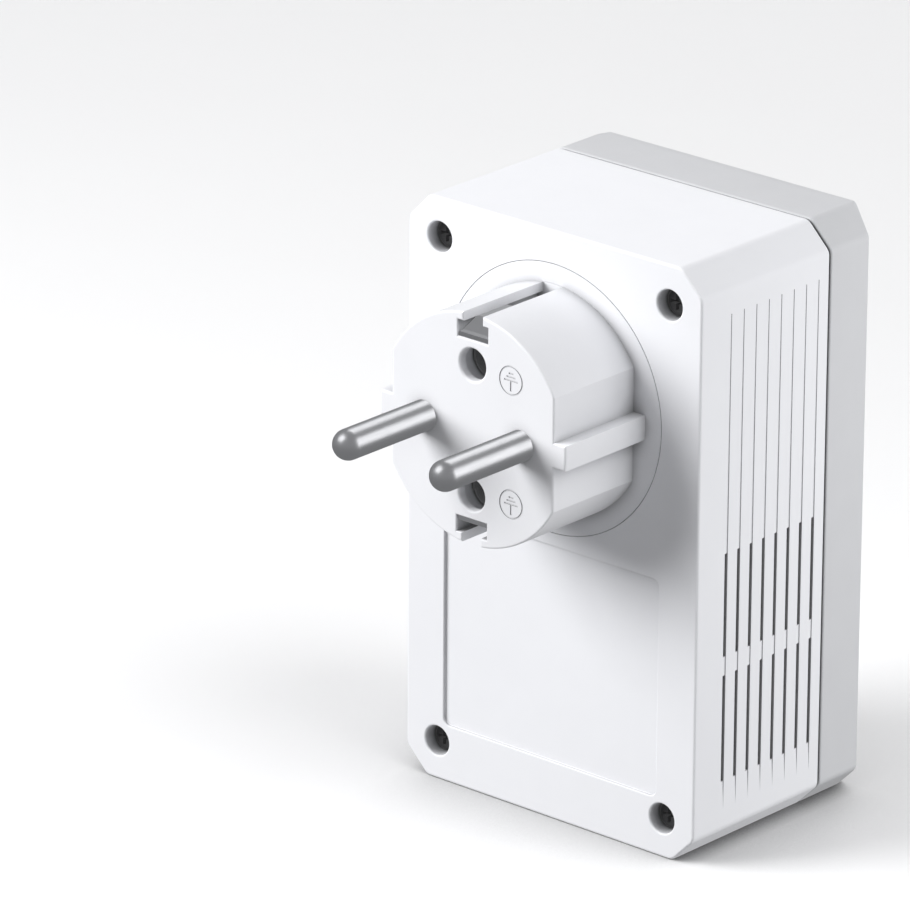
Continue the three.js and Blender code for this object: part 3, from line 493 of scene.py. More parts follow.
def finish(
    name,
    colour,
    roughness,
    metallic=0.0,
    mottle=0.03,
    mottle_size=6.0,
    grain=0.25,
    grain_size=0.16,
    drawn=(1, 1, 1),
    painted_shade_reach=0.0,
    **extra,
):
    """A moulded, painted or metal surface: slow colour changes, uneven gloss and a fine raised grain.

    drawn shrinks the pattern along an axis, so that metal shows the lines of its drawing or rolling.
    The crevice reach paints shade into the colour: what lies within that many millimetres of its
    neighbours is darkened.
    """
    material = bpy.data.materials.new(name)
    material.use_nodes = True
    tree = material.node_tree
    surface = tree.nodes["Principled BSDF"]
    place = tree.nodes.new("ShaderNodeTexCoord").outputs["Object"]
    stretch = tree.nodes.new("ShaderNodeMapping")
    stretch.inputs["Scale"].default_value = drawn
    connect(tree, place, stretch.inputs["Vector"])
    lines = noise(tree, stretch.outputs["Vector"], grain_size)
    patches = noise(tree, place, mottle_size)
    darker = [channel * (1 - mottle) for channel in colour]
    lighter = [min(1.0, channel * (1 + mottle)) for channel in colour]
    tone = blended(tree, ranged(tree, patches, 0, 1), darker, lighter)
    # Painted shade: the colour darkens near other surfaces, in corners, recesses and bores.
    if painted_shade_reach:
        tone = painted_crevice_shade(tree, tone, painted_shade_reach)
    connect(tree, tone, surface.inputs["Base Color"])
    gloss = ranged(tree, lines, 0.88 * roughness, 1.12 * roughness)
    connect(tree, gloss, surface.inputs["Roughness"])
    bump = tree.nodes.new("ShaderNodeBump")
    bump.inputs["Strength"].default_value = grain
    bump.inputs["Distance"].default_value = 0.01 * MM
    connect(tree, lines, bump.inputs["Height"])
    connect(tree, bump.outputs["Normal"], surface.inputs["Normal"])
    surface.inputs["Metallic"].default_value = metallic
    for setting, value in extra.items():
        surface.inputs[setting.replace("_", " ")].default_value = value
    return material


def board_finish():
    """Green solder mask over faint straight tracks, with the weave of the glass cloth under it."""
    material = finish("board_finish", (0.02, 0.13, 0.06), 0.35, grain_size=0.4, Coat_Weight=0.4)
    tree = material.node_tree
    surface = tree.nodes["Principled BSDF"]
    place = tree.nodes["Texture Coordinate"].outputs["Object"]
    turned_flat = tree.nodes.new("ShaderNodeMapping")
    turned_flat.inputs["Rotation"].default_value = (math.pi / 2, 0, 0)
    connect(tree, place, turned_flat.inputs["Vector"])
    tracks = tree.nodes.new("ShaderNodeTexBrick")
    tracks.inputs["Scale"].default_value = 1 / (9 * MM)
    tracks.inputs["Mortar Size"].default_value = 0.05
    tracks.inputs["Mortar Smooth"].default_value = 0.2
    tracks.inputs["Color1"].default_value = (0.012, 0.085, 0.04, 1)
    tracks.inputs["Color2"].default_value = (0.016, 0.1, 0.045, 1)
    tracks.inputs["Mortar"].default_value = (0.045, 0.22, 0.09, 1)
    connect(tree, turned_flat.outputs["Vector"], tracks.inputs["Vector"])
    connect(tree, tracks.outputs["Color"], surface.inputs["Base Color"])
    return material


def nickel_finish(name, roughness, painted_shade_reach=0.0):
    colour = (0.79, 0.797, 0.82)
    lines = (1, 0.05, 1)
    return finish(name, colour, roughness, 1.0, mottle=0.01, drawn=lines, grain=0.03, painted_shade_reach=painted_shade_reach)


WHITE = (0.865, 0.871, 0.9)
# Where a finish has a crevice reach, painted shade darkens its colour near other pieces.
FINISHES = {
    "white_shell": finish("shell_finish", WHITE, 0.42, mottle=0.006, grain=0.25, painted_shade_reach=4.0),
    "silver_cover": finish(
        "cover_finish", (0.68, 0.686, 0.706), 0.34, metallic=0.1, mottle=0.01, grain=0.3, painted_shade_reach=4.0
    ),
    "white_insert": finish("insert_finish", WHITE, 0.36, mottle=0.006, grain=0.15, painted_shade_reach=3.4),
    "nickel": nickel_finish("nickel_finish", 0.33, painted_shade_reach=2.0),
    "socket_plastic": finish(
        "socket_finish", (0.74, 0.745, 0.76), 0.35, mottle=0.01, grain=0.2, painted_shade_reach=4.0
    ),
    "brass": finish("brass_finish", (0.75, 0.55, 0.25), 0.3, metallic=1.0, drawn=(1, 0.1, 1)),
    "natural_plastic": finish("natural_finish", (0.7, 0.66, 0.52), 0.5, grain=0.3),
    "shutter_plastic": finish("shutter_finish", (0.8, 0.8, 0.8), 0.35),
    "steel": finish("steel_finish", (0.55, 0.56, 0.57), 0.33, metallic=1.0, drawn=(1, 1, 0.1)),
    "black_steel": finish(
        "black_steel_finish", (0.055, 0.055, 0.057), 0.4, metallic=0.3, grain=0.5, painted_shade_reach=0.6
    ),
    "board": board_finish(),
    "brown_plastic": finish("brown_finish", (0.13, 0.045, 0.02), 0.4),
    "blue_epoxy": finish("epoxy_finish", (0.03, 0.11, 0.38), 0.3, grain=0.6, grain_size=0.8),
    "blue_wire": finish("blue_wire_finish", (0.02, 0.09, 0.4), 0.4),
    "yellow_plastic": finish("yellow_finish", (0.68, 0.46, 0.05), 0.4),
    "copper": finish("copper_finish", (0.62, 0.22, 0.08), 0.28, metallic=1.0, Coat_Weight=0.6),
    "ferrite": finish("ferrite_finish", (0.035, 0.036, 0.038), 0.65, grain=0.8, grain_size=0.12),
    "black_plastic": finish("black_finish", (0.018, 0.018, 0.019), 0.45, grain=0.4),
    "aluminium": finish("aluminium_finish", (0.6, 0.61, 0.62), 0.35, metallic=1.0, drawn=(1, 1, 0.05)),
    "jack_metal": finish("jack_metal_finish", (0.62, 0.62, 0.61), 0.25, metallic=1.0, mottle_size=1.5),
    "key_plastic": finish("key_finish", (0.6, 0.605, 0.62), 0.36, mottle=0.01),
    "clear_plastic": finish(
        "clear_finish",
        (0.88, 0.91, 0.93),
        0.2,
        mottle=0.01,
        grain=0.05,
        Transmission_Weight=0.25,
        IOR=1.49,
    ),
    "led": finish("led_finish", (0.85, 0.82, 0.6), 0.3, mottle_size=0.8),
}
satin = nickel_finish("pin_finish", 0.35)
# The sleeves' finish is the nickel with deep painted shade over a long reach, so the bores look dark.
bore = nickel_finish("bore_finish", 0.33, painted_shade_reach=7.0)
black_socket = finish("black_jack_finish", (0.015, 0.015, 0.016), 0.5)
solder = finish("solder_finish", (0.62, 0.63, 0.64), 0.28, metallic=1.0, mottle_size=0.7)

# ---------------------------------------------------------------- pieces


def piece(solid, node, suffix="fine", material=None, crease=SOFT_CREASE):
    """The solid stands for a CAD node: it rides on the node's body and takes its material slot.

    The metal parts show the studio's lamps, and not the pieces round them.
    """
    solid.name = f"{node}_{suffix}"
    solid.data.name = solid.name
    solid.visible_glossy = False
    shade(solid.data, crease)
    solid.data.transform(Matrix.Scale(MM, 4))
    solid.data.materials.clear()
    solid.data.materials.append(material or FINISHES[SLOT_OF[node]])
    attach(solid, BODY_OF[node])
    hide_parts(node)
    return solid


def case_outline(side, high, low, corner, radius=CORNER_R):
    right = [(side - corner, low), (side, low + corner), (side, high - corner), (side - corner, high)]
    return rounded(mirrored(right), radius)


def inset_outline(inset, radius=CORNER_R):
    """The case's outline moved inwards, its 45 degree corners kept parallel."""
    corner = CORNER_CUT - inset * (2 - math.sqrt(2))
    return case_outline(HALF_WIDTH - inset, TOP - inset, BOTTOM + inset, corner, radius)


# ---------------------------------------------------------------- rear shell


def vent_groove(side, front):
    """A cutter for one groove: straight at the front, curved up to the surface behind it."""
    outside = HALF_WIDTH + OVERSHOOT
    levels = (
        (VENT_TIP, 0.7, 0.25),
        (SLOT_SPANS[0][1], 1.0, 1.0),
        (SLOT_SPANS[1][0], 1.0, 1.0),
        (VENT_TAIL, 0.02, 0.05),
    )
    across = 8
    rings = []
    for z, depth_share, width_share in levels:
        width = VENT_WIDTH * width_share
        ring = [(side * outside, front, z)]
        for step in range(across + 1):
            along = step / across
            depth = VENT_DEPTH * depth_share * (1 + math.cos(math.pi * along)) / 2 - 0.004 * along
            ring.append((side * (HALF_WIDTH - depth), front - width * along, z))
        ring.append((side * outside, front - width, z))
        rings.append(ring)
    return skinned(rings)


def vent_slots(side, front):
    near = side * (HALF_WIDTH - WALL - OVERSHOOT)
    far = side * (HALF_WIDTH + OVERSHOOT)
    depth = (min(near, far), max(near, far))
    return [box(depth, (front - SLOT_WIDTH, front), zs) for zs in SLOT_SPANS]


def rear_shell():
    shell = prism(inset_outline(0), REAR, SEAM, first=0.42, last=0.32)
    hollow = prism(inset_outline(WALL, radius=1.0), REAR + WALL, SEAM, first=0.5, last=-0.12)
    shell = cut(shell, hollow)
    bosses = []
    tools = [prism(circle(DISC_R + SEAM_LINE, ROUND), REAR, REAR + WALL + 1, first=-0.12)]
    for side in BOTH:
        for z in SCREW_LEVELS:
            place = (FINE, side * SCREW_X, z)
            bosses.append(prism(circle(BOSS_R, *place), REAR + 1, BOSS_END, last=0.3))
            tools.append(prism(circle(WELL_R, *place), REAR, HEAD_SEAT + GAP, first=-0.3, last=0.2))
            tools.append(prism(circle(SHANK_HOLE_R, *place), HEAD_SEAT, BOSS_END + OVERSHOOT))
        for (x, z), radius in ((STANDOFF, STANDOFF_R), (PEG, PEG_R)):
            bosses.append(prism(circle(radius, FINE, side * x, z), REAR + 1, STANDOFF_END, last=0.2))
        hole = circle(STANDOFF_HOLE_R, FINE, side * STANDOFF[0], STANDOFF[1])
        tools.append(prism(hole, REAR + WALL + 1, STANDOFF_END + OVERSHOOT))
    label = rounded(rectangle(*LABEL), 1.2, steps=8)
    tools.append(prism(label, REAR, REAR + LABEL_DEPTH, first=-0.2, last=0.15))
    mouth = rectangle(jack_low.x - GAP, jack_high.x + GAP, ON_BOARD - GAP, jack_high.y + GAP)
    tools.append(prism(mouth, BOTTOM, BOTTOM + WALL + 1, first=-0.25, axis="z"))
    reset_hole = circle(RESET_R + GAP, FINE, RESET_X, RESET_Y)
    tools.append(prism(reset_hole, BOTTOM, BOTTOM + WALL + 1, first=-0.25, axis="z"))
    for side in BOTH:
        for i in range(VENT_COUNT):
            front = VENT_FIRST + i * VENT_PITCH
            tools.append(vent_groove(side, front))
            tools += vent_slots(side, front)
    inside = common(joined(bosses[0], *bosses[1:]), prism(inset_outline(0.5), REAR, SEAM))
    return cut(joined(shell, inside), *tools)


piece(rear_shell(), "rear_shell")

# ---------------------------------------------------------------- front cover


def cover_volume(inset, start, radius):
    """The cover's outer form, or its cavity: the case's outline with a bevel down each long side."""
    slope = BEVEL_DEPTH / BEVEL_WIDTH
    side = HALF_WIDTH - inset
    front = FRONT - inset
    shoulder = HALF_WIDTH - BEVEL_WIDTH - inset * (math.hypot(1, slope) - 1) / slope
    shoulder_y = front - slope * (side - shoulder)
    corners = [(side, start), (side, shoulder_y), (shoulder, front), (0, front)]
    edge = rounded(corners, 0.5, steps=6, closed=False)[:-1]
    face_r = 0.35
    rings = []
    for x, y in edge:
        rise = max(0.0, y - (front - face_r))
        drop = face_r - math.sqrt(face_r**2 - min(rise, face_r) ** 2)
        corner = max(0.6, CORNER_CUT - inset * (2 - math.sqrt(2)) - (side - x))
        high, low = TOP - inset - drop, BOTTOM + inset + drop
        outline = case_outline(x, high, low, corner, min(radius, corner))
        rings.append([(u, y, v) for u, v in outline])
    return rings


def front_cover():
    outer = cover_volume(0, COVER_START, CORNER_R)
    lip_edge = [
        [(u, COVER_START + depth, v) for u, v in grown(inset_outline(0), growth)]
        for growth, depth in edge_steps(0.32)
    ]
    cover = skinned(lip_edge + outer[1:])
    cover = cut(cover, skinned(cover_volume(WALL, COVER_START - 1, 1.0)))
    lip_inset = WALL + GAP
    lip = cut(
        joined(
            prism(inset_outline(lip_inset, 1.0), LIP_START, COVER_START + 1, first=0.3),
            prism(inset_outline(WALL / 2, 1.2), COVER_START + 0.2, COVER_START + 2.5),
        ),
        prism(inset_outline(lip_inset + LIP_WALL, 0.6), LIP_START - 1, COVER_START + 4),
    )
    additions = [lip]
    tools = [
        prism(circle(SOCKET_RIM_R + SEAM_LINE, ROUND), FRONT - WALL - 1, FRONT, last=-0.2),
        prism(pill(PAIR_LENGTH + GAP, PAIR_HEIGHT + GAP, z=PAIR_Z), FRONT - WALL - 1, FRONT, last=-0.2),
    ]
    for side in BOTH:
        for z in SCREW_LEVELS:
            boss = circle(COVER_BOSS_R, FINE, side * SCREW_X, z)
            pilot = circle(PILOT_R, FINE, side * SCREW_X, z)
            additions.append(prism(boss, COVER_BOSS_START, FRONT - WALL + 0.5, first=0.2))
            tools.append(prism(pilot, COVER_BOSS_START, PILOT_END, first=-0.3))
    for x in (-LIGHT_X, 0, LIGHT_X):
        hole = circle(LIGHT_R + 0.12, FINE, x, LIGHT_Z)
        tools.append(prism(hole, FRONT - WALL - 1, FRONT, last=-0.15))
    return cut(joined(cover, *additions), *tools)


piece(front_cover(), "front_cover")

# ---------------------------------------------------------------- plug


def plug_outline():
    """The plug's round section with its flat sides, and a guide rib in the middle of each."""
    flat_angle = math.degrees(math.acos(PLUG_FLAT / PLUG_R))
    rib_angle = math.degrees(math.asin(RIB_HALF / PLUG_R))
    right = [(PLUG_FLAT, -RIB_HALF)] + arc(PLUG_R, -rib_angle, rib_angle, 8) + [(PLUG_FLAT, RIB_HALF)]
    over = arc(PLUG_R, flat_angle, 180 - flat_angle, ROUND // 2)
    half = right + over
    return half + [(-x, -z) for x, z in half]


def notch_outline(side):
    """The T-shaped mouth of an earth notch, open at the plug's rim."""
    right = [(NOTCH_HALF, NOTCH_FLOOR), (NOTCH_HALF, NOTCH_STEP)]
    right += [(NOTCH_NECK, NOTCH_STEP), (NOTCH_NECK, PLUG_R + 1)]
    return [(side * x, side * z) for x, z in mirrored(right)]


def earth_symbol(x, z):
    """A protective earth mark, as cutters: a ring round a stem with three bars over it."""
    stroke = 0.24
    depth = 0.12
    ring_r = 2.3
    ring_profile = [(ring_r, -1), (ring_r, depth), (ring_r - stroke, depth), (ring_r - stroke, -1)]
    ring = turned(ring_profile, FINE, x, z, closed=True)
    bars = ((0.0, 1.3), (0.55, 0.85), (1.1, 0.45))
    marks = []
    for level, half in bars:
        heights = (z + level - stroke / 2, z + level + stroke / 2)
        marks.append(box((x - half, x + half), (-1, depth), heights))
    stem = box((x - 0.17, x + 0.17), (-1, depth), (z - 1.65, z - stroke / 2 - 0.02))
    return [ring, *marks, stem]


def plug_insert():
    block = prism(plug_outline(), 0, REAR + 1, first=0.38)
    disc = prism(circle(DISC_R, ROUND), REAR, REAR + WALL + 1, first=0.12)
    flange = prism(circle(FLANGE_R, ROUND), REAR + WALL + GAP, FLANGE_BACK, first=0.2, last=0.2)
    half = PLUG_FLAT - PLUG_WALL
    hollow = common(
        prism(circle(PLUG_R - PLUG_WALL, ROUND), PLUG_FACE_WALL, FLANGE_BACK + 1),
        box((-half, half), (0, FLANGE_BACK + 2), (-PLUG_R, PLUG_R)),
    )
    body = cut(joined(block, disc, flange), hollow)
    inner = []
    tools = []
    for side in BOTH:
        pin_x = side * PIN_X
        hole_z = side * EARTH_HOLE_Z
        inner.append(prism(circle(PIN_BOSS_R, FINE, pin_x), 1, PIN_BOSS_END, last=0.2))
        inner.append(prism(circle(EARTH_BOSS_R, FINE, 0, hole_z), 1, FLANGE_BACK - 2, last=0.2))
        heights = sorted((side * (NOTCH_FLOOR - 1.3), side * (PLUG_R - 0.2)))
        notch_walls = box((-EARTH_BOSS_R, EARTH_BOSS_R), (1, FLANGE_BACK - 2), heights)
        inner.append(common(notch_walls, prism(circle(PLUG_R - 0.1, ROUND), 0, 21)))
        tools.append(prism(circle(PIN_R - 0.01, FINE, pin_x), -1, REAR))
        tools.append(prism(circle(EARTH_HOLE_R, FINE, 0, hole_z), 0, 2, first=-0.42))
        tools.append(prism(circle(3.2, FINE, 0, hole_z), 1.4, FLANGE_BACK + 1))
        tools.append(prism(notch_outline(side), 0, NOTCH_END, first=-0.32))
        channel = sorted((side * NOTCH_FLOOR, side * (NOTCH_FLOOR + 1.4)))
        tools.append(box((-NOTCH_HALF, NOTCH_HALF), (1, FLANGE_BACK + 1), channel))
        pocket = sorted((side * 5.9, side * 15.3))
        tools.append(box(pocket, (PIN_BOSS_END, FLANGE_BACK + 1), (-3.4, 3.4)))
    tools += earth_symbol(7.55, 9.65) + earth_symbol(7.75, -9.7)
    return cut(joined(body, *inner), *tools)


def plug_pin(side):
    """A round nose, a plain shank and the riveted stub that holds the line contact."""
    centre = span("plug_pin_right")[0].y + PIN_R
    nose = [(u, centre + v) for u, v in arc(PIN_R, -90, 0, 16)]
    shank = [(PIN_R, 17.6), (2.3, 17.7), (1.4, 17.7), (1.4, 19.1), (2.1, 19.1), (2.1, 19.5)]
    return turned([*nose, *shank, (1.6, 19.8), (0, 19.8)], 96, side * PIN_X)


def earth_sleeve(side):
    """A tube whose two tongues are bent inwards to grip the earth pin."""
    mouth, end = (corner.y for corner in span("earth_sleeve_upper"))
    z = side * EARTH_HOLE_Z
    mouth += 2.2
    tube = turned(
        rounded([(2.6, mouth), (2.9, mouth), (2.9, end), (2.6, end)], 0.12), FINE, z=z, closed=True
    )
    section = rounded(rectangle(-0.15, 0.15, -0.95, 0.95), 0.1, 3)
    tongues = []
    for toward in BOTH:
        bend = rounded([(2.7, 3.6), (2.7, 4.2), (1.85, 6.2), (1.85, 8), (2.6, 11)], 0.6, closed=False)
        path = [(toward * radius, y, z) for radius, y in bend]
        tongues.append(swept(path, section))
    return joined(tube, *tongues)


def strip(path, half_width, thickness):
    """A sheet strip whose middle line runs through (y, z) points, with its edges rounded."""
    section = rounded(rectangle(-half_width, half_width, -thickness / 2, thickness / 2), 0.12, 3)
    return swept([(0, y, z) for y, z in path], section)


def bow_path(leg, back, bend):
    """A leg's line of (y, z) points, across the back at y = back, and out along the mirrored leg."""
    curved = rounded([*leg, (back, leg[-1][1]), (back, 0)], bend, steps=8, closed=False)
    return curved[:-1] + [(y, -z) for y, z in reversed(curved[:-1])]


def plug_earth_bow():
    thickness = 0.7
    floor = NOTCH_FLOOR + 0.02 + thickness / 2
    leg = [(0.3, floor), (1.2, floor + 0.1), (4.3, floor + 1.45), (10.5, floor + 1.45), (14, floor)]
    back = span("plug_earth_bow")[1].y - thickness / 2
    bow = strip(bow_path(leg, back, 0.5), 2.86, thickness)
    return cut(bow, prism(circle(1.5), back - 2, back + 2))


piece(plug_insert(), "plug_insert", crease=HARD_CREASE)
polished = bpy.data.collections.new("polished")
for side in BOTH:
    polished.objects.link(piece(plug_pin(side), f"plug_pin_{SIDE_NAME[side]}", material=satin))
    piece(earth_sleeve(side), f"earth_sleeve_{LEVEL_NAME[side]}", material=bore)
polished.objects.link(piece(plug_earth_bow(), "plug_earth_bow", material=satin))

# ---------------------------------------------------------------- socket


def socket_insert():
    tube = joined(
        prism(circle(SOCKET_RIM_R, ROUND), FLOOR_BACK, FRONT, first=0.3, last=0.45),
        prism(circle(FLANGE_R, ROUND), FRONT - 4, FRONT - WALL - GAP, first=0.2, last=0.2),
    )
    recess = prism(circle(SOCKET_R, ROUND), SOCKET_FLOOR, FRONT, first=0.4, last=-0.5)
    block_end = FRONT - 1.5
    blocks = []
    for side in BOTH:
        across = sorted((side * BLOCK_FACE, side * (SOCKET_R + 1.2)))
        blocks.append(box(across, (SOCKET_FLOOR - 1, block_end), (-BLOCK_HALF, BLOCK_HALF), 0.4))
    guide = common(
        box((-GROOVE_FACE, GROOVE_FACE), (SOCKET_FLOOR, FRONT + 1), (-GROOVE_HALF, GROOVE_HALF)),
        prism(circle(SOCKET_R - 0.1, ROUND), SOCKET_FLOOR, FRONT + 1),
    )
    additions = [prism(circle(1.4), 35.6, FLOOR_BACK + 1, first=0.2)]
    tools = [cut(recess, *blocks), guide]
    for side in BOTH:
        corner = side * CARRIER_SCREW_X
        additions.append(prism(circle(2.6, FINE, corner, corner), 35.2, FLOOR_BACK + 1, first=0.2))
        tools.append(prism(circle(1.2, FINE, corner, corner), 35, SOCKET_FLOOR - 0.8))
        tools.append(prism(circle(2.7, FINE, side * PIN_X), FLOOR_BACK - 1, SOCKET_FLOOR, last=-0.5))
        tools.append(box((-3.4, 3.4), (FLOOR_BACK - 1, block_end), sorted((side * 17.2, side * 20.6))))
    return cut(joined(tube, *additions), *tools)


def socket_earth_bow():
    back = span("socket_earth_bow")[0].y + 0.3
    floor = 17.9
    leg = [(56, 18.9), (51, 16.8), (48, 16.8), (44, floor)]
    bow = strip(bow_path(leg, back, 0.4), 3, 0.58)
    return cut(bow, prism(circle(1.5), back - 2, back + 2))


def earth_rivet():
    back, front = (corner.y for corner in span("earth_rivet"))
    head = 0.8
    profile = [(0, back), (1.5, back), (2.0, back + 0.25), (2.2, back + head), (1.2, back + head)]
    profile += [(1.2, front - head), (2.2, front - head), (2.0, front - 0.25), (1.5, front), (0, front)]
    return turned(profile)


piece(socket_insert(), "socket_insert")
piece(socket_earth_bow(), "socket_earth_bow")
piece(earth_rivet(), "earth_rivet")
piece(refined("contact_carrier", 0.2), "contact_carrier")
piece(refined("safety_shutter", 0.15), "safety_shutter")
for side in SIDE_NAME.values():
    piece(refined(f"line_contact_{side}", 0.12), f"line_contact_{side}")

# ---------------------------------------------------------------- springs and leads


def shutter_spring():
    """Two turns and a quarter round the hub, with a straight leg at each end."""
    low = span("shutter_spring")[0].y + 0.22
    coil_r = 3.5
    leg = 4.5
    turns = 2.25
    steps = 90
    path = [(coil_r, low, -leg)]
    for step in range(steps + 1):
        angle = math.tau * turns * step / steps
        path.append((coil_r * math.cos(angle), low + 0.9 * step / steps, coil_r * math.sin(angle)))
    ahead = (-math.sin(math.tau * turns), 0, math.cos(math.tau * turns))
    path.append(tuple(here + leg * along for here, along in zip(path[-1], ahead)))
    return swept(path, circle(0.22, 10), across=(0, 1, 0))


def spline(points, steps):
    """A smooth line through points, by Catmull and Rom's formula."""
    ends = [2 * points[0] - points[1], *points, 2 * points[-1] - points[-2]]
    line = []
    for before, start, end, after in zip(ends, ends[1:], ends[2:], ends[3:]):
        for step in range(steps):
            t = step / steps
            bend = (2 * before - 5 * start + 4 * end - after) * t**2
            twist = (3 * start - before - 3 * end + after) * t**3
            line.append((2 * start + (end - before) * t + bend + twist) / 2)
    return [*line, points[-1]]


def mains_lead(side):
    route = [(16.1, 24, -1), (16.4, 24, -6), (17.4, 24, -12), (18, 24, -18), (18, 24, -22)]
    route += [(18, 24.3, -24.8), (18, 25.4, -26.4), (18, 26.6, -26.8)]
    points = [Vector((side * x, y, z)) for x, y, z in route]
    return swept(spline(points, 5), circle(0.8, 20), across=(0, 1, 0))


piece(shutter_spring(), "shutter_spring")
piece(mains_lead(1), "live_lead")
piece(mains_lead(-1), "neutral_lead")

# ---------------------------------------------------------------- screws


def screw(length, head_r, head_height, shank_r, recess):
    """A pan head with a cross recess and a threaded shank, its top at y = 0, pointing to +Y."""
    dome = 0.35
    head = [(0, 0), (head_r - 2 * dome, 0.0), (head_r - dome, 0.1), (head_r - 0.08, dome)]
    head += [(head_r, 0.6), (head_r, head_height - 0.1), (head_r - 0.1, head_height), (0, head_height)]
    pitch = 1.0
    root_r = shank_r * 0.74
    segments = 24
    rows = int((length - head_height) / pitch * 8)
    rings = []
    for row in range(rows + 1):
        y = head_height - 0.4 + (length - head_height + 0.4) * row / rows
        taper = min(1.0, (length - y) / 1.6)
        ring = []
        for i in range(segments):
            phase = (y / pitch + i / segments) % 1.0
            ridge = max(0.0, 1 - abs(phase - 0.5) / 0.3)
            radius = (root_r + (shank_r - root_r) * ridge) * max(0.12, taper)
            angle = math.tau * i / segments
            ring.append((radius * math.cos(angle), y, radius * math.sin(angle)))
        rings.append(ring)
    depth = head_height * 0.6
    wing = recess * 0.24
    slots = [
        box((-recess, recess), (-1, depth), (-wing, wing)),
        box((-wing, wing), (-1, depth), (-recess, recess)),
    ]
    return cut(joined(turned(head), skinned(rings)), *slots)


def place_screw(node, head_r, head_height, shank_r, recess, turn=0.0, backwards=False):
    low, high = span(node)
    centre = (low + high) / 2
    made = screw(high.y - low.y, head_r, head_height, shank_r, recess)
    top = high.y if backwards else low.y
    half_turn = Matrix.Rotation(math.pi if backwards else 0, 4, "Z")
    made.data.transform(Matrix.Rotation(turn, 4, "Y"))
    made.data.transform(Matrix.Translation((centre.x, top, centre.z)) @ half_turn)
    piece(made, node)


for level in LEVEL_NAME.values():
    for side in SIDE_NAME.values():
        place_screw(f"case_screw_{level}_{side}", 2.2, HEAD_HEIGHT, shank_r=1.2, recess=1.3)
for side in SIDE_NAME.values():
    place_screw(f"board_screw_{side}", 2.4, 1.5, shank_r=1.0, recess=1.3, turn=0.3, backwards=True)
    place_screw(f"carrier_screw_{side}", 2.1, 1.6, shank_r=0.9, recess=1.2, turn=0.7)

# ---------------------------------------------------------------- board and its components


def can_capacitor(node):
    """An aluminium can in its sleeve, with a rolled groove near the foot and a scored end."""
    low, high = span(node)
    centre = middle(node)
    radius = (high.x - low.x) / 2
    y = low.y
    foot = [(radius - 0.25, y), (radius, y + 0.25), (radius, y + 1.2)]
    inner = radius - 0.28
    groove = [(inner, y + 1.5), (radius - 0.35, y + 1.8), (inner, y + 2.1), (radius, y + 2.4)]
    shoulder = [(radius, high.y - 0.5), (radius - 0.12, high.y - 0.15), (radius - 0.5, high.y)]
    end = [(radius - 0.9, high.y - 0.12), (0, high.y - 0.12)]
    can = turned([(0, y), *foot, *groove, *shoulder, *end], FINE, centre.x, centre.z)
    reach = radius * 0.6
    depth = (high.y - 0.3, high.y + 1)
    scores = [
        box((centre.x - u, centre.x + u), depth, (centre.z - v, centre.z + v))
        for u, v in ((reach, 0.1), (0.1, reach))
    ]
    return cut(can, *scores)


def fuse():
    low, high = span("fuse")
    centre = middle("fuse")
    radius = (high.x - low.x) / 2
    profile = [(0, low.y), (radius - 0.3, low.y), (radius, low.y + 0.3), (radius, high.y - 0.6)]
    profile += [(radius - 0.2, high.y - 0.15), (radius - 0.6, high.y), (0, high.y)]
    return turned(profile, FINE, centre.x, centre.z)


def varistor():
    """A disc dipped in epoxy, standing on the board."""
    low, high = span("varistor")
    outline = rounded(rectangle(low.x, high.x, low.y, high.y), 4.4, steps=10)
    return prism(outline, low.z, high.z, first=1.5, last=1.5, axis="z")


def choke_core():
    low, high = span("line_choke")
    centre = middle("line_choke")
    section = rounded(rectangle(3.3, 5.3, low.y + 0.7, high.y - 0.7), 0.5)
    return turned(section, FINE, centre.x, centre.z, closed=True)


def choke_winding():
    """Two banks of wire loops round the core, with a space between them on each side."""
    low, high = span("line_choke")
    centre = middle("line_choke")
    wire_r = 0.3
    loop = rounded(rectangle(3.0, 5.65, low.y + 0.35, high.y - 0.35), 0.5)
    loops = []
    for bank in (0, 180):
        for i in range(11):
            angle = math.radians(bank - 62 + i * 12.4)
            out = Vector((math.cos(angle), 0, math.sin(angle)))
            path = [centre * Vector((1, 0, 1)) + out * radius + Vector((0, y, 0)) for radius, y in loop]
            across = out.cross(Vector((0, 1, 0)))
            loops.append(swept(path, circle(wire_r, 8), across, closed=True))
    return joined(loops[0], *loops[1:])


def solder_joints():
    """A cone of solder behind the board under both feet of every tall component."""
    back = span("main_board")[0].y
    feet = []
    spreads = {"fuse": 2.5, "varistor": 2.5, "x2_capacitor": 5, "line_choke": 4}
    spreads |= {"transformer_winding": 4, "bulk_capacitor_left": 1.75}
    spreads |= {"bulk_capacitor_right": 1.75, "output_capacitor": 1.25}
    for node, spread in spreads.items():
        centre = middle(node)
        feet += [(centre.x - spread, centre.z), (centre.x + spread, centre.z)]
    cone = [(0, 0.1), (0.95, 0.1), (0.9, -0.05), (0.5, -0.35), (0.36, -0.8), (0, -0.9)]
    dots = [turned([(radius, back + rise) for radius, rise in cone], 20, x, z) for x, z in feet]
    return joined(dots[0], *dots[1:])


piece(refined("main_board", 0.1), "main_board")
piece(solder_joints(), "main_board", "solder", solder)
piece(fuse(), "fuse")
piece(varistor(), "varistor")
piece(refined("x2_capacitor", 0.5), "x2_capacitor")
piece(choke_core(), "line_choke", "core", FINISHES["ferrite"])
piece(choke_winding(), "line_choke", "winding", FINISHES["copper"])
piece(refined("transformer_core", 0.3), "transformer_core")
piece(refined("transformer_winding", 0.4), "transformer_winding")
for node in ("bulk_capacitor_left", "bulk_capacitor_right", "output_capacitor"):
    piece(can_capacitor(node), node)
for node, width in (
    ("coupling_transformer", 0.4),
    ("powerline_chip", 0.08),
    ("chip_heatsink", 0.12),
    ("ethernet_transformer", 0.1),
    ("crystal", 0.4),
    ("pair_switch", 0.2),
    ("reset_switch", 0.2),
    ("led_left", 0.15),
    ("led_middle", 0.15),
    ("led_right", 0.15),
):
    piece(refined(node, width), node)

# ---------------------------------------------------------------- ethernet jack


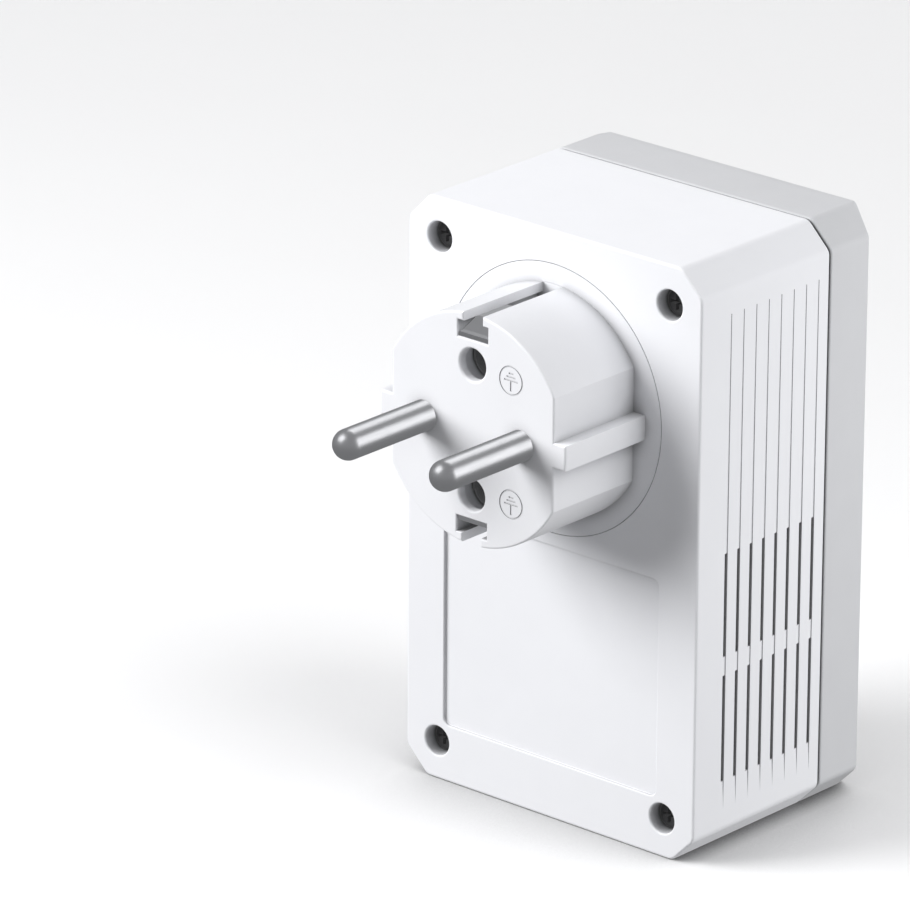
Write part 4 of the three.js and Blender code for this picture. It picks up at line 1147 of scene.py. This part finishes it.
def jack_mouth(growth, depth):
    """Cutters for the jack's stepped opening, which takes the plug and its latch."""
    centre = (jack_low.x + jack_high.x) / 2
    floor = ON_BOARD + 2.1
    steps = []
    for half, low, high in ((5.9, 0, 7.4), (3.1, 7, 9.6), (1.9, 9, 10.4)):
        reach = half + growth
        outline = rectangle(centre - reach, centre + reach, floor + low - growth, floor + high + growth)
        steps.append(prism(outline, jack_low.z - 1, depth, axis="z"))
    return steps


def ethernet_jack():
    """A folded metal shield round the moulded body."""
    shield = box(*zip(jack_low, jack_high), edge=SHIELD)
    return cut(shield, *jack_mouth(SHIELD, jack_high.z - 0.4))


def jack_body():
    """The black moulding inside the shield."""
    block = box(
        (jack_low.x + 1.2, jack_high.x - 1.2),
        (jack_low.y + 1.2, jack_high.y - 0.3),
        (jack_low.z + SHIELD, jack_high.z - 0.4),
    )
    block = common(block, joined(*jack_mouth(SHIELD, jack_high.z - 0.4)))
    return cut(block, *jack_mouth(0.0, jack_low.z + 13))


piece(ethernet_jack(), "ethernet_jack")
piece(jack_body(), "ethernet_jack", "moulding", black_socket)
piece(refined("jack_contacts", 0.05), "jack_contacts")

# ---------------------------------------------------------------- controls and indicators


def pair_button():
    cap = prism(pill(PAIR_LENGTH, PAIR_HEIGHT, z=PAIR_Z), FRONT - 3, FRONT, last=0.6)
    rim = pill(PAIR_LENGTH + 1, PAIR_HEIGHT + 1, z=PAIR_Z)
    behind = FRONT - WALL - GAP
    flange = prism(rim, behind - 1.2, behind, first=0.2, last=0.2)
    stem = prism(circle(1.5, FINE, 0, PAIR_Z), ON_BOARD + 5.1, FRONT - 3, first=0.2)
    return joined(cap, flange, stem)


def reset_button():
    low, high = span("reset_button")
    cap = prism(circle(RESET_R, FINE, RESET_X, RESET_Y), low.z, high.z, 0.35, 0.15, "z")
    rim = circle(2.2, FINE, RESET_X, RESET_Y)
    flange = prism(rim, BOTTOM + WALL + GAP, high.z - 0.5, 0.15, 0.15, "z")
    return joined(cap, flange)


def light_guide():
    rods = []
    for x in (-LIGHT_X, 0, LIGHT_X):
        rod = circle(LIGHT_R, FINE, x, LIGHT_Z)
        rods.append(prism(rod, ON_BOARD + 1.2, FRONT, first=0.1, last=0.25))
    bridge = box(
        (-LIGHT_X - 1.5, LIGHT_X + 1.5), (FRONT - 6.5, FRONT - 5), (LIGHT_Z - 1.6, LIGHT_Z + 1.6), 0.2
    )
    return joined(bridge, *rods)


def plunger(node, axis):
    low, high = span(node)
    centre = middle(node)
    if axis == "y":
        return prism(circle(PLUNGER_R, FINE, centre.x, centre.z), low.y, high.y, 0.15, 0.15, axis)
    return prism(circle(PLUNGER_R, FINE, centre.x, centre.y), low.z, high.z, 0.15, 0.15, axis)


piece(pair_button(), "pair_button")
piece(reset_button(), "reset_button")
piece(plunger("pair_plunger", "y"), "pair_plunger")
piece(plunger("reset_plunger", "z"), "reset_plunger")
piece(light_guide(), "light_guide")

# ---------------------------------------------------------------- floor, light and camera


def floor():
    """A pale sweep that the adapter stands on, whose bounced light is the bounce lamp's."""
    bm = bmesh.new()
    half = 12000
    corners = [(-half, -half), (half, -half), (half, half), (-half, half)]
    bm.faces.new([bm.verts.new((x * MM, y * MM, (BOTTOM - 0.02) * MM)) for x, y in corners])
    made = as_object(bm)
    made.name = "floor"
    # The floor's colour is darkened within 45 mm of the adapter: a painted shadow round its foot.
    made.data.materials.append(
        finish("floor_finish", (0.88, 0.88, 0.885), 0.7, mottle=0.003, mottle_size=60, painted_shade_reach=45)
    )
    made.visible_glossy = False
    made.visible_diffuse = False
    made.visible_shadow = False
    made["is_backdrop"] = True


def direction(azimuth, elevation):
    """Azimuth 0 is on the plug's side and 90 on the right."""
    turn, rise = math.radians(azimuth), math.radians(elevation)
    return Vector((math.sin(turn) * math.cos(rise), -math.cos(turn) * math.cos(rise), math.sin(rise)))


def lamp(name, kind, back, distance):
    """A lamp that shines on the adapter from a direction."""
    made = bpy.data.objects.new(name, bpy.data.lights.new(name, kind))
    made.location = (Vector((0, 30, -20)) + back * distance) * MM
    made.rotation_mode = "QUATERNION"
    made.rotation_quaternion = (-back).to_track_quat("-Z", "Y")
    made.visible_camera = False
    scene.collection.objects.link(made)
    return made


def sun(name, azimuth, elevation, strength, spread):
    made = lamp(name, "SUN", direction(azimuth, elevation), 1000)
    made.data.energy = strength
    made.data.angle = math.radians(spread)
    made.visible_glossy = False


def softbox(name, azimuth, elevation, distance, size, power):
    made = lamp(name, "AREA", direction(azimuth, elevation), distance)
    made.data.shape = "RECTANGLE"
    made.data.size, made.data.size_y = (length * MM for length in size)
    made.data.energy = power
    return made


def glint(name, azimuth, elevation, size, power):
    """A far softbox that is seen only as a highlight on the plug's metal."""
    made = softbox(name, azimuth, elevation, 1500, size, power)
    made.visible_diffuse = False
    made.data.use_shadow = False
    made.light_linking.receiver_collection = polished


def surroundings():
    """A dim studio over a pale floor."""
    world = bpy.data.worlds.new("surroundings")
    world.use_nodes = True
    tree = world.node_tree
    background = tree.nodes["Background"]
    place = tree.nodes.new("ShaderNodeTexCoord").outputs["Generated"]
    height = tree.nodes.new("ShaderNodeSeparateXYZ")
    connect(tree, place, height.inputs["Vector"])
    share = tree.nodes.new("ShaderNodeMapRange")
    share.inputs["From Min"].default_value = -1
    connect(tree, height.outputs["Z"], share.inputs["Value"])
    glow = tree.nodes.new("ShaderNodeValToRGB")
    levels = ((0.15, 0.2), (0.4, 0.22), (0.54, 0.26), (1.0, 0.26))
    ramp = glow.color_ramp
    while len(ramp.elements) < len(levels):
        ramp.elements.new(1)
    for element, (position, level) in zip(ramp.elements, levels):
        element.position = position
        element.color = (level * 0.98, level * 0.985, level, 1)
    connect(tree, share.outputs["Result"], glow.inputs["Fac"])
    connect(tree, glow.outputs["Color"], background.inputs["Color"])
    scene.world = world


def camera():
    """The camera stands low to the right of the plug, far off with a long lens."""
    azimuth = 41.39
    elevation = 20.74
    distance = 1242.43
    roll = math.radians(0.35)
    back = direction(azimuth, elevation)
    right = direction(azimuth + 90, 0)
    up = back.cross(right)
    level_right = right * math.cos(roll) + up * math.sin(roll)
    level_up = up * math.cos(roll) - right * math.sin(roll)
    target = Vector((-0.58, -3.06, -2.63))
    data = bpy.data.cameras.new("camera")
    data.sensor_width = 36
    data.lens = 334.03
    data.clip_start, data.clip_end = 0.05, 20
    made = bpy.data.objects.new("camera", data)
    axes = Matrix((level_right, level_up, back)).transposed().to_4x4()
    made.matrix_world = Matrix.Translation((target + back * distance) * MM) @ axes
    scene.collection.objects.link(made)
    scene.camera = made


floor()
sun("key", -44, 26, 2.1, 38)
softbox("near_key", -44, 26, 420, (270, 270), 1.08).visible_glossy = False
sun("right_top", 90, 50, 1.3, 40)
sun("side", 105, 18, 0.2, 40)
sun("bounce", 100, -65, 0.95, 50)
sun("front", 200, 6, 1.1, 40)
softbox("near", 125, 10, 150, (150, 150), 0.08).visible_glossy = False
glint("right_glint", 133, 12, (1000, 1150), 4.0)
glint("left_glint", -158, 40, (800, 800), 2.2)
glint("key_glint", -35, 46, (1100, 1100), 4.4)
surroundings()
camera()
scene.view_settings.view_transform = "Standard"

boxes = {"cad": cad_box, "visual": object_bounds()}
{name: [list(corner) for corner in corners] for name, corners in boxes.items()}
